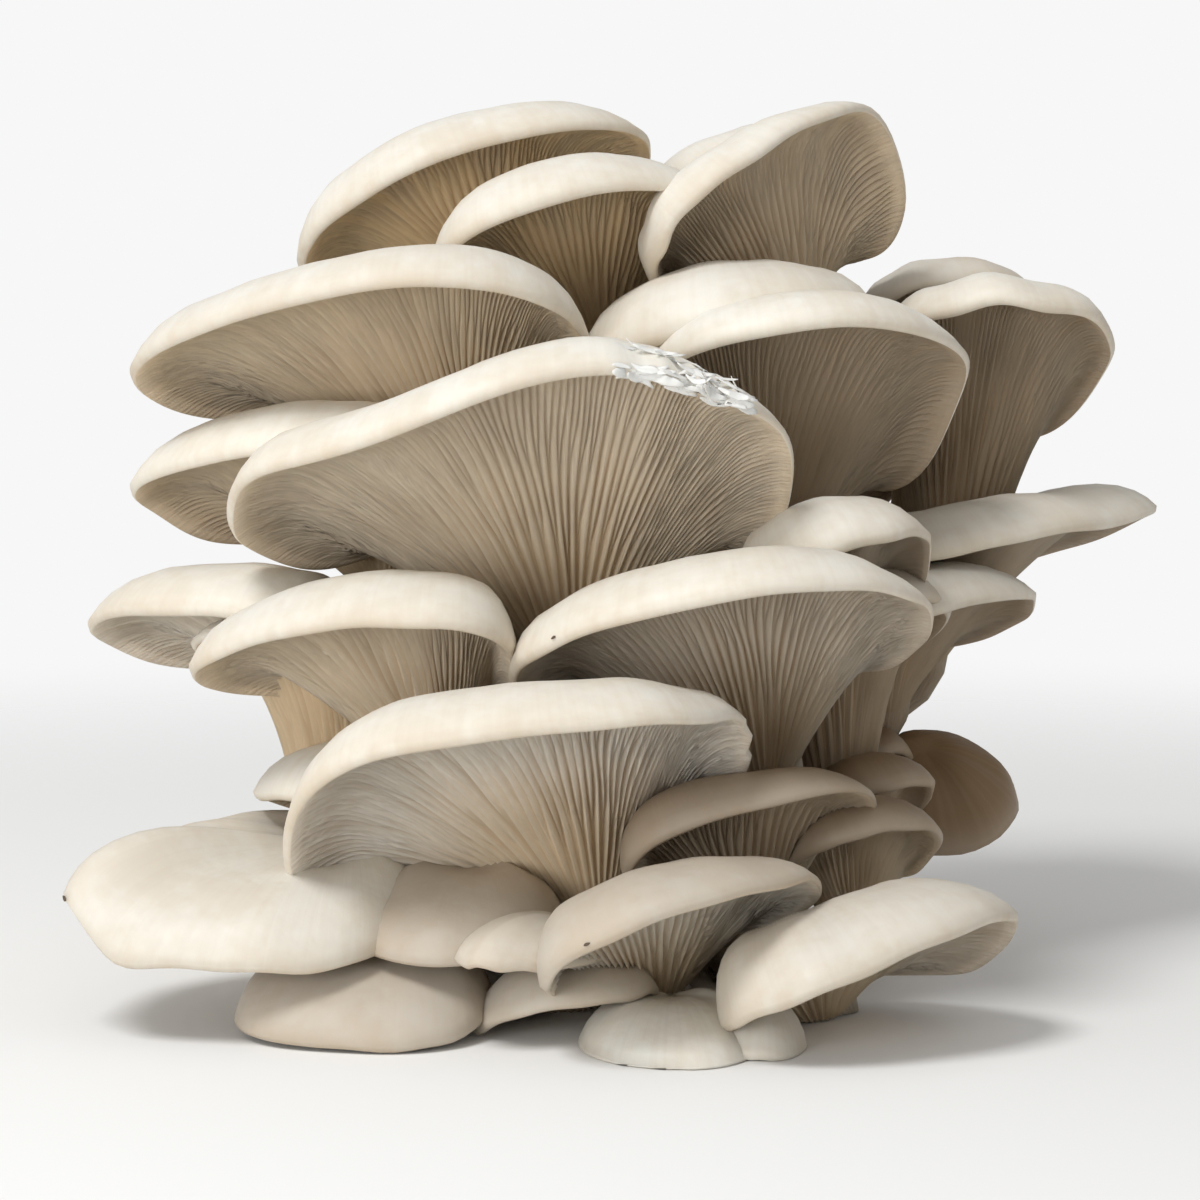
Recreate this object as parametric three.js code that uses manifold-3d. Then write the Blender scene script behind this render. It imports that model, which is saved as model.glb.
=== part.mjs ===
// A cluster of oyster mushrooms grown from one common butt, standing upright on its cut base.
// Millimetres, +Z up, -Y is the side the caps face. The base lies in the plane z = 0.
// Every mushroom is one closed body, a stem joined to a cap. The stem's rings start at the foot
// inside the butt. The cap's rings spread from the neck along the gilled underside to the lip, turn
// over the margin and close on the crown.
import * as THREE from "three";
import { mergeVertices } from "three/addons/utils/BufferGeometryUtils.js";
import Module from "manifold-3d";

const RELIEF = 1.0; // gills stand this far above and below the underside's mean surface
const GAP = 0.3; // clearance kept between neighbouring bodies
const GROW = 0.4; // offset of a neighbour before it is cut away, so that ridged faces clear by GAP
const WELD = 1e-3; // corners closer than this are one corner
const FLOOR = 0; // height of the resting plane
const CUT_DEPTH = 60; // thickness of the block that trims everything below the resting plane
const CUT_SPAN = 400; // side of that block

// Cap section
const BAND_EXTRA = 3.5; // flesh behind the visible band of the margin
const CURL_SHARE = 0.55; // part of the margin's thickness that hangs below the cap
const BULGE = 3.2; // how far the margin swells outwards
const BELL = 1.5; // how fast the underside leaves the stem: 1 is a cone
const DIP = 3.0; // hollow in the middle of the cap
const HANG_AT = 118; // degrees from the front where the side lobes hang lowest
const HANG_SPREAD = 34; // width of those lobes, degrees
const TAPER_AT = 100; // degrees from the front where the margin is thinnest
const TAPER_SPREAD = 50; // width of that thin part, degrees
const MIN_FLESH = 0.75; // least flesh above the underside, as a share of the margin's thickness
const BLEND = 2.0; // softness of the join between the crown and the lobes

// Rings of each body
const STEM_STEPS = [0, 0.5];
const UNDER_STEPS = [0, 0.38, 0.76, 1];
const EDGE_STEPS = [0.42, 1];
const TOP_STEPS = [0.5];
const STEM_RELIEF = [0, 0, 0];
const UNDER_RELIEF = [0.6, 1, 1, 0];
const GILLS_BASE = 3; // ridges on the smallest cap
const GILLS_PER_MM = 0.043; // further ridges for each millimetre of width and reach

// Butt: the fused mass of stem bases. Each row is height, centre y, half width and half depth.
const BUTT_RINGS = [
  [0, 15, 33, 23],
  [12, 16, 38, 25],
  [34, 18, 43, 25],
  [58, 20, 44, 23],
  [80, 23, 43, 21],
  [98, 26, 38, 18],
  [112, 28, 25, 14],
];
const BUTT_TOP = [2, 29, 119];
const BUTT_CENTRE_X = 4;
const BUTT_SIDES = 21;
const BUTT_FLUTES = 7; // the stems show as this many flutes
const BUTT_FLUTE_DEPTH = 0.06;
const BUTT_TWIST = 0.02; // flutes lean by this many radians a millimetre

// Join of stem and cap
const PLUG_RISE = 1.5; // how far the stem's end reaches into the cap
const PLUG_TAPER = 0.06; // how much narrower it gets there
const HEEL = 0.4; // how far the cap's bottom reaches into the stem, in stem radii

// Feet: where each stem's axis starts, from its seat
const FOOT_X = 0.42; // share of the seat's distance to the side
const FOOT_Y = [18, 0.1]; // y of the feet, and the share of the seat's distance in front
const FOOT_Z = 0.58; // share of the seat's height
const FOOT_LOW = 4; // no foot starts lower
const FOOT_SHARE = 0.9; // foot radius over stem radius

// Each mushroom: seat is where the stem's axis meets the cap. The cap leaves it towards heading
// (degrees from -Y, positive to +X), raised by tilt and rolled by roll. From the seat the lip lies
// reach in front and behind at the back, width across, shifted sideways, wider in front by fan.
// rise is the funnel's height, arch the droop of both sides, hang the droop of the left and right
// lobe, band the visible thickness of the margin, stem the stem's radius. A lobe is a wave of the
// lip: degrees from the front, spread, how far out and how far up.
const MUSHROOMS = [
  { name: "mushroom_01", seat: [-22, 25, 136.5], heading: -4, tilt: 16, roll: 21,
    reach: 45, behind: 8, width: 72, shift: 1, fan: 0.12, rise: 10, arch: 3,
    hang: [4, 5], band: 11, taper: 0.3, stem: 8, lobes: [] },
  { name: "mushroom_02", seat: [-1, 5, 124], heading: -7, tilt: 16, roll: 17,
    reach: 50, behind: 8, width: 56, shift: 2, fan: 0.12, rise: 11, arch: 2,
    hang: [4, 3], band: 12, taper: 0.35, stem: 7.5, lobes: [] },
  { name: "mushroom_03", seat: [35, 8, 125], heading: -5, tilt: 16, roll: 42,
    reach: 54, behind: 13, width: 51, shift: 10.5, fan: 0.12, rise: 15, arch: 2,
    hang: [4, 17], band: 8, taper: 0.3, stem: 10, lobes: [[66, 24, 3, 0]] },
  { name: "mushroom_04", seat: [31, 35, 139], heading: -10, tilt: 16, roll: 36,
    reach: 40, behind: 8, width: 44, shift: 3, fan: 0.12, rise: 7, arch: 3,
    hang: [5, 5], band: 8, taper: 0.2, stem: 6, lobes: [] },
  { name: "mushroom_05", seat: [71, 38, 117], heading: 2, tilt: 14, roll: 8,
    reach: 33, behind: 6, width: 34, shift: 0, fan: 0.3, rise: 9, arch: 2,
    hang: [5, 5], band: 6, taper: 0.2, stem: 5.5, lobes: [] },
  { name: "mushroom_06", seat: [71, 24, 78], heading: 10, tilt: 18, roll: -2,
    reach: 64, behind: 7, width: 45, shift: 0.5, fan: 0.3, rise: 33, arch: 3,
    hang: [8, 8], band: 8.5, taper: 0.4, stem: 12, lobes: [] },
  { name: "mushroom_07", seat: [31, -8, 82.5], heading: 13, tilt: 16, roll: 2,
    reach: 60, behind: 7, width: 60, shift: 3, fan: 0.25, rise: 27, arch: 2,
    hang: [6, 18], band: 9, taper: 0.5, stem: 11, lobes: [] },
  { name: "mushroom_08", seat: [28, 5, 109], heading: -5, tilt: 6, roll: 11,
    reach: 55, behind: 8, width: 54, shift: 2, fan: 0.3, rise: 10, arch: 2,
    hang: [5, 5], band: 12, taper: 0.2, stem: 7, lobes: [] },
  { name: "mushroom_09", seat: [-26, -5, 95], heading: -8, tilt: 16, roll: 4,
    reach: 65, behind: 8, width: 86, shift: -15, fan: 0.12, rise: 20, arch: 4,
    hang: [4, 4], band: 10, taper: 0.15, stem: 8.5, lobes: [] },
  { name: "mushroom_10", seat: [-42, -5, 77], heading: -22, tilt: 14, roll: 4,
    reach: 50, behind: 7, width: 64, shift: -7, fan: 0.3, rise: 13, arch: 2,
    hang: [6, 3], band: 11.5, taper: 0.1, stem: 7, lobes: [] },
  { name: "mushroom_11", seat: [-6, -25, 65], heading: -6, tilt: 17, roll: 4,
    reach: 71, behind: 8, width: 102, shift: -6, fan: 0.15, rise: 31, arch: 5,
    hang: [12, 14], band: 9.5, taper: 0.6, stem: 9, lobes: [[-32, 28, 0, -7], [-80, 24, 0, -5], [16, 22, 0, 2]] },
  { name: "mushroom_12", seat: [-52, 0, 51], heading: -26, tilt: 12, roll: 0,
    reach: 53, behind: 6, width: 52, shift: -12, fan: 0.3, rise: 10, arch: 2,
    hang: [5, 3], band: 9, taper: 0, stem: 6, lobes: [] },
  { name: "mushroom_13", seat: [-29, -30, 42], heading: -7, tilt: 16, roll: 2,
    reach: 58, behind: 7, width: 58, shift: -13, fan: 0.2, rise: 16, arch: 4,
    hang: [1, 4], band: 11, taper: 0.1, stem: 7.5, lobes: [] },
  { name: "mushroom_14", seat: [-47, -18, 41], heading: -28, tilt: 14, roll: -4,
    reach: 40, behind: 6, width: 40, shift: -4, fan: 0.3, rise: 16, arch: 2,
    hang: [4, 2], band: 4, taper: 0, stem: 14, lobes: [] },
  { name: "mushroom_15", seat: [-37, -25, 29], heading: -24, tilt: 6, roll: 0,
    reach: 38, behind: 6, width: 30, shift: -4, fan: 0.3, rise: 6, arch: 1,
    hang: [3, 3], band: 8, taper: 0, stem: 5, lobes: [] },
  { name: "mushroom_16", seat: [-2, -48, 22], heading: -9, tilt: 16, roll: 12,
    reach: 62, behind: 10, width: 84, shift: -6, fan: 0.12, rise: 18, arch: 6,
    hang: [22, 2], band: 10, taper: 0.5, stem: 9, lobes: [[-35, 24, 3, 3], [74, 26, 0, 6]] },
  { name: "mushroom_17", seat: [30, -35, 43], heading: -10, tilt: 16, roll: 12,
    reach: 64, behind: 8, width: 74, shift: 0.5, fan: 0.2, rise: 18, arch: 2,
    hang: [3, 5], band: 10, taper: 0.45, stem: 8, lobes: [] },
  { name: "mushroom_18", seat: [65, 15, 59], heading: 15, tilt: 14, roll: 9,
    reach: 46, behind: 6, width: 50, shift: 13, fan: 0.2, rise: 13.5, arch: 0,
    hang: [3, 0], band: 9, taper: 0.2, stem: 6, lobes: [[78, 18, 8, 3]] },
  { name: "mushroom_19", seat: [55, 5, 51], heading: 15, tilt: 14, roll: 13,
    reach: 44, behind: 6, width: 40, shift: 8, fan: 0.3, rise: 10, arch: 2,
    hang: [3, 4], band: 9, taper: 0.3, stem: 7.5, lobes: [] },
  { name: "mushroom_20", seat: [46, -13, 35], heading: 4, tilt: 16, roll: 5,
    reach: 40, behind: 6, width: 40, shift: 1, fan: 0.3, rise: 30, arch: 2,
    hang: [2, 4], band: 7, taper: 0, stem: 8, lobes: [] },
  { name: "mushroom_21", seat: [46, -20, 63], heading: -1, tilt: 14, roll: 21,
    reach: 50, behind: 6, width: 33, shift: 3, fan: 0.3, rise: 10, arch: 0,
    hang: [4, 8], band: 11, taper: 0.3, stem: 6, lobes: [] },
  { name: "mushroom_22", seat: [28, -35, 10], heading: -6, tilt: 16, roll: 23,
    reach: 52, behind: 6, width: 45, shift: 8.5, fan: 0.2, rise: 15, arch: 3,
    hang: [4, 4], band: 8, taper: 0.4, stem: 6.5, lobes: [] },
  { name: "mushroom_23", seat: [51, -5, 21], heading: 5, tilt: 14, roll: 15,
    reach: 36, behind: 6, width: 20, shift: 4, fan: 0.3, rise: 8, arch: 1,
    hang: [2, 4], band: 6, taper: 0, stem: 4.5, lobes: [] },
  { name: "mushroom_24", seat: [63, 10, 36], heading: 35, tilt: -45, roll: 22,
    reach: 25, behind: 4, width: 30, shift: 0, fan: 0.12, rise: 6, arch: 2,
    hang: [0, 0], band: 5, taper: 0, stem: 5.5, lobes: [] },
  { name: "mushroom_25", seat: [49, -22, 7], heading: 5, tilt: 16, roll: 12,
    reach: 41, behind: 6, width: 28, shift: 2, fan: 0.25, rise: 15, arch: 2,
    hang: [3, 5], band: 7, taper: 0.3, stem: 5.5, lobes: [] },
  { name: "mushroom_26", seat: [52, 12, 25], heading: 9, tilt: 14, roll: 5,
    reach: 26, behind: 5, width: 18, shift: 0, fan: 0.12, rise: 10, arch: 1,
    hang: [2, 3], band: 5, taper: 0, stem: 4, lobes: [] },
  { name: "mushroom_27", seat: [9, -55, 3], heading: -1, tilt: 14, roll: 23,
    reach: 59, behind: 7, width: 49, shift: 9.5, fan: 0.2, rise: 8, arch: 3,
    hang: [3, 4], band: 7, taper: 0.3, stem: 6.5, lobes: [] },
  { name: "mushroom_28", seat: [38, -58, 3], heading: 5, tilt: 12, roll: 21,
    reach: 50, behind: 7, width: 54, shift: 9, fan: 0.2, rise: 2, arch: 1,
    hang: [2, 8], band: 9, taper: 0.2, stem: 9, lobes: [] },
  { name: "mushroom_29", seat: [13, -61, -0.5], heading: 0, tilt: -4, roll: 0,
    reach: 42, behind: 4, width: 31, shift: 0, fan: 0.12, rise: 1, arch: 1,
    hang: [0, 0], band: 3.5, taper: 0, stem: 4.5, lobes: [] },
  { name: "mushroom_30", seat: [25, -63, 0], heading: 6, tilt: -4, roll: -6,
    reach: 34, behind: 4, width: 16, shift: 0, fan: 0.12, rise: 1, arch: 1,
    hang: [0, 0], band: 4, taper: 0, stem: 4, lobes: [] },
  { name: "mushroom_31", seat: [-3, -50, 0], heading: -9, tilt: 6, roll: 14,
    reach: 38, behind: 6, width: 32, shift: 0, fan: 0.25, rise: 2, arch: 2,
    hang: [2, 2], band: 5, taper: 0, stem: 5, lobes: [] },
  { name: "mushroom_32", seat: [0, -72, 13], heading: -50, tilt: 0, roll: 0,
    reach: 30, behind: 5, width: 17, shift: 0, fan: 0.12, rise: 2, arch: 1,
    hang: [0, 0], band: 4, taper: 0, stem: 4.5, lobes: [] },
  { name: "mushroom_33", seat: [-37, -44, 3], heading: -10, tilt: -7, roll: 0,
    reach: 50, behind: 4, width: 42, shift: 0, fan: 0.3, rise: 3, arch: 0,
    hang: [0, 0], band: 7, taper: 0, stem: 5, lobes: [[0, 30, -3, 0]] },
  { name: "mushroom_34", seat: [-45, -38, 19], heading: -42, tilt: -9, roll: -9,
    reach: 56, behind: 4, width: 58, shift: 2, fan: 0.12, rise: 6, arch: 1,
    hang: [0, 0], band: 7, taper: 0, stem: 6.5, lobes: [[-22, 14, 5, 6], [2, 18, 4, -2]] },
  { name: "mushroom_35", seat: [-22, -48, 17], heading: -12, tilt: -12, roll: 0,
    reach: 38, behind: 6, width: 36, shift: 0, fan: 0.12, rise: 5, arch: 1,
    hang: [0, 0], band: 6, taper: 0, stem: 6, lobes: [] },
];

const CREAM = [0xe9e2d2, 0xe4dccb, 0xddd3c0];
const BUTT_COLOUR = 0xd8cfbd;
const SKIN_ROUGHNESS = 0.75;

const wasm = await Module();
wasm.setup();

const radians = (degrees) => (degrees * Math.PI) / 180;
const clamp = (x, low, high) => Math.min(high, Math.max(low, x));
const smoothMax = (a, b) => 0.5 * (a + b + Math.hypot(a - b, BLEND));
const vector = (x, y, z) => new THREE.Vector3(x, y, z);
const along = (origin, ...terms) => {
  const p = origin.clone();
  for (const [direction, length] of terms) p.addScaledVector(direction, length);
  return p;
};

// Directions of a cap: ahead along its reach, right across it, normal out of its top.
function capFrame({ heading, tilt, roll }) {
  const a = radians(heading);
  const t = radians(tilt);
  const r = radians(roll);
  const flat = vector(Math.sin(a), -Math.cos(a), 0);
  const up = vector(0, 0, 1);
  const origin = vector(0, 0, 0);
  const ahead = along(origin, [flat, Math.cos(t)], [up, Math.sin(t)]);
  const top = along(origin, [up, Math.cos(t)], [flat, -Math.sin(t)]);
  const side = vector(0, 0, 0).crossVectors(top, ahead);
  const right = along(origin, [side, Math.cos(r)], [top, Math.sin(r)]);
  const normal = along(origin, [top, Math.cos(r)], [side, -Math.sin(r)]);
  return { ahead, right, normal };
}

// The lip at an angle from the front: along ahead, along right and along normal.
function lipAt(m, phi) {
  const c = Math.cos(phi);
  const s = Math.sin(phi);
  const degrees = (phi * 180) / Math.PI;
  let u = (m.reach - m.behind) / 2 + ((m.reach + m.behind) / 2) * c;
  let v = (m.width / 2) * s * (1 + m.fan * c) + m.shift * s * s;
  let h = -m.arch * s * s;
  h -= m.hang[1] * Math.exp(-(((degrees - HANG_AT) / HANG_SPREAD) ** 2));
  h -= m.hang[0] * Math.exp(-(((degrees - 360 + HANG_AT) / HANG_SPREAD) ** 2));
  for (const [at, spread, out, lift] of m.lobes) {
    const away = ((((degrees - at + 180) % 360) + 360) % 360) - 180;
    const wave = Math.exp(-((away / spread) ** 2));
    u += out * wave * Math.cos(radians(at));
    v += out * wave * Math.sin(radians(at));
    h += lift * wave;
  }
  return { u, v, h };
}

function footOf([x, y, z]) {
  return vector(
    BUTT_CENTRE_X + FOOT_X * (x - BUTT_CENTRE_X),
    FOOT_Y[0] + FOOT_Y[1] * (y - FOOT_Y[0]),
    Math.max(FOOT_LOW, FOOT_Z * z),
  );
}

// The stem: circles along a curve from the foot to just inside the cap, without twist.
function stemOf(m, frame, columns) {
  const seat = vector(...m.seat);
  const foot = footOf(m.seat);
  const span = seat.clone().sub(foot);
  const third = span.length() / 3;
  const zero = vector(0, 0, 0);
  const arrive = along(zero, [frame.normal, 0.75], [frame.ahead, 0.55]).normalize();
  const leave = span.clone().normalize();
  leave.z += 0.25;
  leave.normalize();
  const axis = new THREE.CubicBezierCurve3(
    foot,
    along(foot, [leave, third]),
    along(seat, [arrive, -third]),
    seat,
  );
  const rings = [];
  const front = frame.ahead.clone();
  for (const t of [...STEM_STEPS, 1].reverse()) {
    const tangent = axis.getTangent(t);
    front.addScaledVector(tangent, -front.dot(tangent)).normalize();
    const side = vector(0, 0, 0).crossVectors(tangent, front);
    if (side.dot(frame.right) < 0) side.negate();
    const centre = axis.getPoint(t);
    const radius = m.stem * (FOOT_SHARE + (1 - FOOT_SHARE) * t);
    const ring = [];
    for (let j = 0; j < columns; j += 1) {
      const phi = (2 * Math.PI * j) / columns;
      ring.push(along(centre, [front, radius * Math.cos(phi)], [side, radius * Math.sin(phi)]));
    }
    rings.unshift(ring);
  }
  const neck = rings[rings.length - 1];
  const plug = neck.map((p) => along(p.clone().lerp(seat, PLUG_TAPER), [arrive, PLUG_RISE]));
  const body = {
    rings: [...rings.slice(0, -1), plug].map((ring) => ring.filter((p, j) => j % 2 === 0)),
    relief: STEM_RELIEF,
    start: foot,
    end: along(seat, [arrive, 2 * PLUG_RISE]),
  };
  return { body, neck, seat, heel: along(seat, [arrive, -HEEL * m.stem]) };
}

// The two skins of a mushroom, stem and cap, with the share of relief on each ring.
function skinsOf(m) {
  const gills = Math.round(GILLS_BASE + GILLS_PER_MM * (m.width + m.reach));
  const columns = 2 * gills;
  const frame = capFrame(m);
  const { body: stem, neck, seat, heel } = stemOf(m, frame, columns);
  const thick = m.band + BAND_EXTRA;
  const shoulder = 0.8 * thick + 6;
  const lead = (m.reach - m.behind) / 2;
  const crownHeight = m.rise + thick - DIP - 0.35 * m.arch;
  const rings = [];
  const relief = [];
  const spokes = [];
  for (let j = 0; j < columns; j += 1) {
    const phi = (2 * Math.PI * j) / columns;
    const { u, v, h } = lipAt(m, phi);
    const radius = Math.hypot(u, v);
    const size = clamp(radius / (2 * shoulder), 0.3, 1);
    const fromThin = ((phi * 180) / Math.PI - TAPER_AT) / TAPER_SPREAD;
    const thin = 1 - m.taper * Math.exp(-(fromThin ** 2));
    const curl = CURL_SHARE * thick * size * thin;
    const flesh = (1 - CURL_SHARE) * thick * (0.45 + 0.55 * size) * thin;
    const rim = clamp((shoulder * size) / radius, 0.1, 0.5);
    const inner = clamp(1 - (shoulder * size) / radius, 0.2, 0.95);
    const under = (x) => {
      const c = clamp((x - 1 + rim) / rim, 0, 1);
      return (m.rise + h + curl) * (1 - (1 - x) ** BELL) - curl * c * c;
    };
    const flat = along(vector(0, 0, 0), [frame.ahead, u], [frame.right, v]);
    const collar = neck[j].clone().sub(seat);
    const total = curl + flesh;
    const inwards = smoothMax(total, under(inner) - under(1) + MIN_FLESH * total);
    spokes.push({ flat, collar, under, total, inwards, inner, swell: BULGE * size * thin });
  }
  for (const [i, x] of UNDER_STEPS.entries()) {
    rings.push(
      spokes.map((s) =>
        along(seat, [s.collar, (1 - x) ** 1.5], [s.flat, x], [frame.normal, s.under(x)]),
      ),
    );
    relief.push(UNDER_RELIEF[i]);
  }
  const lip = rings[rings.length - 1];
  for (const t of EDGE_STEPS) {
    const b1 = 3 * (1 - t) ** 2 * t;
    const b2 = 3 * (1 - t) * t * t;
    const b3 = t ** 3;
    rings.push(
      spokes.map((s, j) => {
        const before = spokes[(j + columns - 1) % columns].flat;
        const after = spokes[(j + 1) % columns].flat;
        const out = after.clone().sub(before).cross(frame.normal).normalize();
        const swell = (1.6 * b1 + 1.3 * b2) * s.swell;
        const climb = b1 * 0.05 * s.total + b2 * 0.5 * (s.total + s.inwards) + b3 * s.inwards;
        return along(lip[j], [out, swell], [s.flat, b3 * (s.inner - 1)], [frame.normal, climb]);
      }),
    );
    relief.push(0);
  }
  for (const y of TOP_STEPS) {
    rings.push(
      spokes.map((s) => {
        const edge = s.under(1) + s.inwards;
        const crown = crownHeight + (edge - crownHeight) * y ** 2.2;
        const height = smoothMax(crown, s.under(y * s.inner) + MIN_FLESH * s.total);
        const slide = 0.35 * lead * (1 - y) ** 3;
        return along(seat, [frame.ahead, slide], [s.flat, s.inner * y], [frame.normal, height]);
      }),
    );
    relief.push(0);
  }
  const crown = along(seat, [frame.ahead, 0.35 * lead], [frame.normal, crownHeight]);
  return { stem, cap: { rings, relief, start: heel, end: crown } };
}

// Outward direction at every point of a grid of rings.
function gridNormals(rings) {
  const last = rings.length - 1;
  return rings.map((ring, i) =>
    ring.map((_, j) => {
      const n = ring.length;
      const around = ring[(j + 1) % n].clone().sub(ring[(j + n - 1) % n]);
      const ahead = rings[Math.min(last, i + 1)][j].clone().sub(rings[Math.max(0, i - 1)][j]);
      return around.cross(ahead).normalize();
    }),
  );
}

// Closes a stack of rings with a point at each end. offset moves the whole skin outwards.
function skin({ rings, relief, start, end }, offset) {
  const normals = gridNormals(rings);
  const count = rings[0].length;
  const lastRing = rings.length - 1;
  const vertices = rings.flatMap((ring, i) =>
    ring.map((point, j) => {
      const ridge = relief[i] * RELIEF * (j % 2 === 1 ? 1 : -1);
      return along(point, [normals[i][j], ridge]);
    }),
  );
  const startAt = vertices.length;
  const endAt = startAt + 1;
  vertices.push(start.clone(), end.clone());
  const faces = [];
  for (let j = 0; j < count; j += 1) {
    const k = (j + 1) % count;
    faces.push(startAt, k, j);
    faces.push(endAt, lastRing * count + j, lastRing * count + k);
    for (let i = 0; i < lastRing; i += 1) {
      const a = i * count;
      const b = a + count;
      faces.push(a + j, a + k, b + k);
      faces.push(a + j, b + k, b + j);
    }
  }
  return solid(offset > 0 ? grown(vertices, faces, offset) : vertices, faces);
}

// Every vertex moved outwards, so that the faces round it move by about the offset.
function grown(vertices, faces, offset) {
  const normals = vertices.map(() => vector(0, 0, 0));
  for (let i = 0; i < faces.length; i += 3) {
    const [a, b, c] = [faces[i], faces[i + 1], faces[i + 2]];
    const ab = vertices[b].clone().sub(vertices[a]);
    const ac = vertices[c].clone().sub(vertices[a]);
    const face = ab.cross(ac).normalize();
    for (const at of [a, b, c]) normals[at].add(face);
  }
  return vertices.map((point, i) => along(point, [normals[i].normalize(), offset]));
}

function solid(vertices, faces) {
  const vertProperties = new Float32Array(vertices.flatMap((p) => p.toArray()));
  const mesh = new wasm.Mesh({ numProp: 3, vertProperties, triVerts: new Uint32Array(faces) });
  return new wasm.Manifold(mesh);
}

// The butt: oval rings with flutes.
function buttRings() {
  const rings = BUTT_RINGS.map(([z, y, halfWidth, halfDepth]) => {
    const ring = [];
    for (let j = 0; j < BUTT_SIDES; j += 1) {
      const phi = (2 * Math.PI * j) / BUTT_SIDES;
      const flute = 1 + BUTT_FLUTE_DEPTH * Math.cos(BUTT_FLUTES * phi + BUTT_TWIST * z);
      const dx = halfWidth * flute * Math.sin(phi);
      const dy = -halfDepth * flute * Math.cos(phi);
      ring.push(vector(BUTT_CENTRE_X + dx, y + dy, z));
    }
    return ring;
  });
  const start = vector(BUTT_CENTRE_X, BUTT_RINGS[0][1], FLOOR);
  return { rings, relief: rings.map(() => 0), start, end: vector(...BUTT_TOP) };
}

function floorBlock() {
  const box = new THREE.BoxGeometry(CUT_SPAN, CUT_SPAN, CUT_DEPTH);
  box.translate(0, 0, FLOOR - CUT_DEPTH / 2);
  const position = box.getAttribute("position");
  const corners = [];
  const seen = new Map();
  const index = [];
  for (let i = 0; i < position.count; i += 1) {
    const corner = vector(0, 0, 0).fromBufferAttribute(position, i);
    const key = corner.toArray().join();
    if (!seen.has(key)) {
      seen.set(key, corners.length);
      corners.push(corner);
    }
    index.push(seen.get(key));
  }
  return solid(corners, Array.from(box.index.array, (i) => index[i]));
}

// The largest piece of a shape, with corners closer than WELD made one.
function largest(shape) {
  const biggest = (pieces) =>
    pieces.reduce((best, piece) => (piece.volume() > best.volume() ? piece : best));
  const geometry = geometryOf(biggest(shape.decompose()));
  const welded = mergeVertices(geometry, WELD);
  const mesh = new wasm.Mesh({
    numProp: 3,
    vertProperties: welded.attributes.position.array,
    triVerts: new Uint32Array(welded.index.array),
  });
  return biggest(new wasm.Manifold(mesh).decompose());
}

function geometryOf(shape) {
  const { vertProperties, triVerts } = shape.getMesh();
  const geometry = new THREE.BufferGeometry();
  geometry.setAttribute("position", new THREE.BufferAttribute(new Float32Array(vertProperties), 3));
  geometry.setIndex(new THREE.BufferAttribute(new Uint32Array(triVerts), 1));
  return geometry;
}

function meshOf(shape, name, colour) {
  const geometry = geometryOf(shape);
  geometry.computeVertexNormals();
  const material = new THREE.MeshStandardMaterial({
    color: colour,
    roughness: SKIN_ROUGHNESS,
    metalness: 0,
    flatShading: true,
  });
  const mesh = new THREE.Mesh(geometry, material);
  mesh.name = name;
  return mesh;
}

const cluster = new THREE.Group();
cluster.name = "oyster_mushroom_cluster";

const block = floorBlock();
const butt = buttRings();
cluster.add(meshOf(skin(butt, 0), "butt", BUTT_COLOUR));

// The mushrooms nearest the front keep their whole shape. Each one behind gives way to them.
const placed = [skin(butt, GROW)];
const frontFirst = [...MUSHROOMS].sort((a, b) => tipOf(a) - tipOf(b));
for (const m of frontFirst) {
  const { stem, cap } = skinsOf(m);
  const whole = skin(stem, 0).add(skin(cap, 0));
  let shape = whole.subtract(block);
  for (const other of placed) {
    if (boxesMeet(shape, other)) shape = shape.subtract(other);
  }
  const kept = largest(shape);
  placed.push(whole.add(skin(stem, GROW)).add(skin(cap, GROW)));
  cluster.add(meshOf(kept, m.name, CREAM[cluster.children.length % CREAM.length]));
}

// y of the lip's frontmost point
function tipOf(m) {
  const { ahead } = capFrame(m);
  return m.seat[1] + m.reach * ahead.y;
}

function boxesMeet(a, b) {
  const p = a.boundingBox();
  const q = b.boundingBox();
  return [0, 1, 2].every((i) => p.min[i] < q.max[i] + GAP && q.min[i] < p.max[i] + GAP);
}

export default cluster;
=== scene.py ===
"""A cluster of oyster mushrooms on one cut butt, with real gills under every cap.

Sizes in the tables are millimetres. Objects are in metres, +Z up, and the caps face -Y.
"""
import math

import bpy
import numpy as np
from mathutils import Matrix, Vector


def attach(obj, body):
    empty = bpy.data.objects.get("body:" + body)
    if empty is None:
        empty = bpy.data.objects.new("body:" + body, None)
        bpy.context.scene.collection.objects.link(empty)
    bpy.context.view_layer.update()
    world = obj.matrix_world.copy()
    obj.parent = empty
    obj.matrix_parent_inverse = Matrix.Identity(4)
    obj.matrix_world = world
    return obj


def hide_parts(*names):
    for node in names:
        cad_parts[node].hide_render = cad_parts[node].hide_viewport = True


bl_info = {
    "name": "Oyster Mushroom Cluster",
    "version": (1, 0, 0),
    "blender": (4, 5, 0),
    "location": "3D View > Sidebar > Mushrooms",
    "description": "Grows a cluster of gilled oyster mushrooms on a cut butt",
    "category": "Object",
}

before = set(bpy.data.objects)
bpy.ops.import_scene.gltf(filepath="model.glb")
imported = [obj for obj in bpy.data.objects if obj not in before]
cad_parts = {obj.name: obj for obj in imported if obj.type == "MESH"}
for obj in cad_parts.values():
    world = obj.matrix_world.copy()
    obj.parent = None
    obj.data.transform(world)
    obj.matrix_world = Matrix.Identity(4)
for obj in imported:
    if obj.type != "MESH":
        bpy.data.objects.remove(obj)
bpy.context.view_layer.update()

MM = 0.001
FLOOR = 0.0

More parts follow.
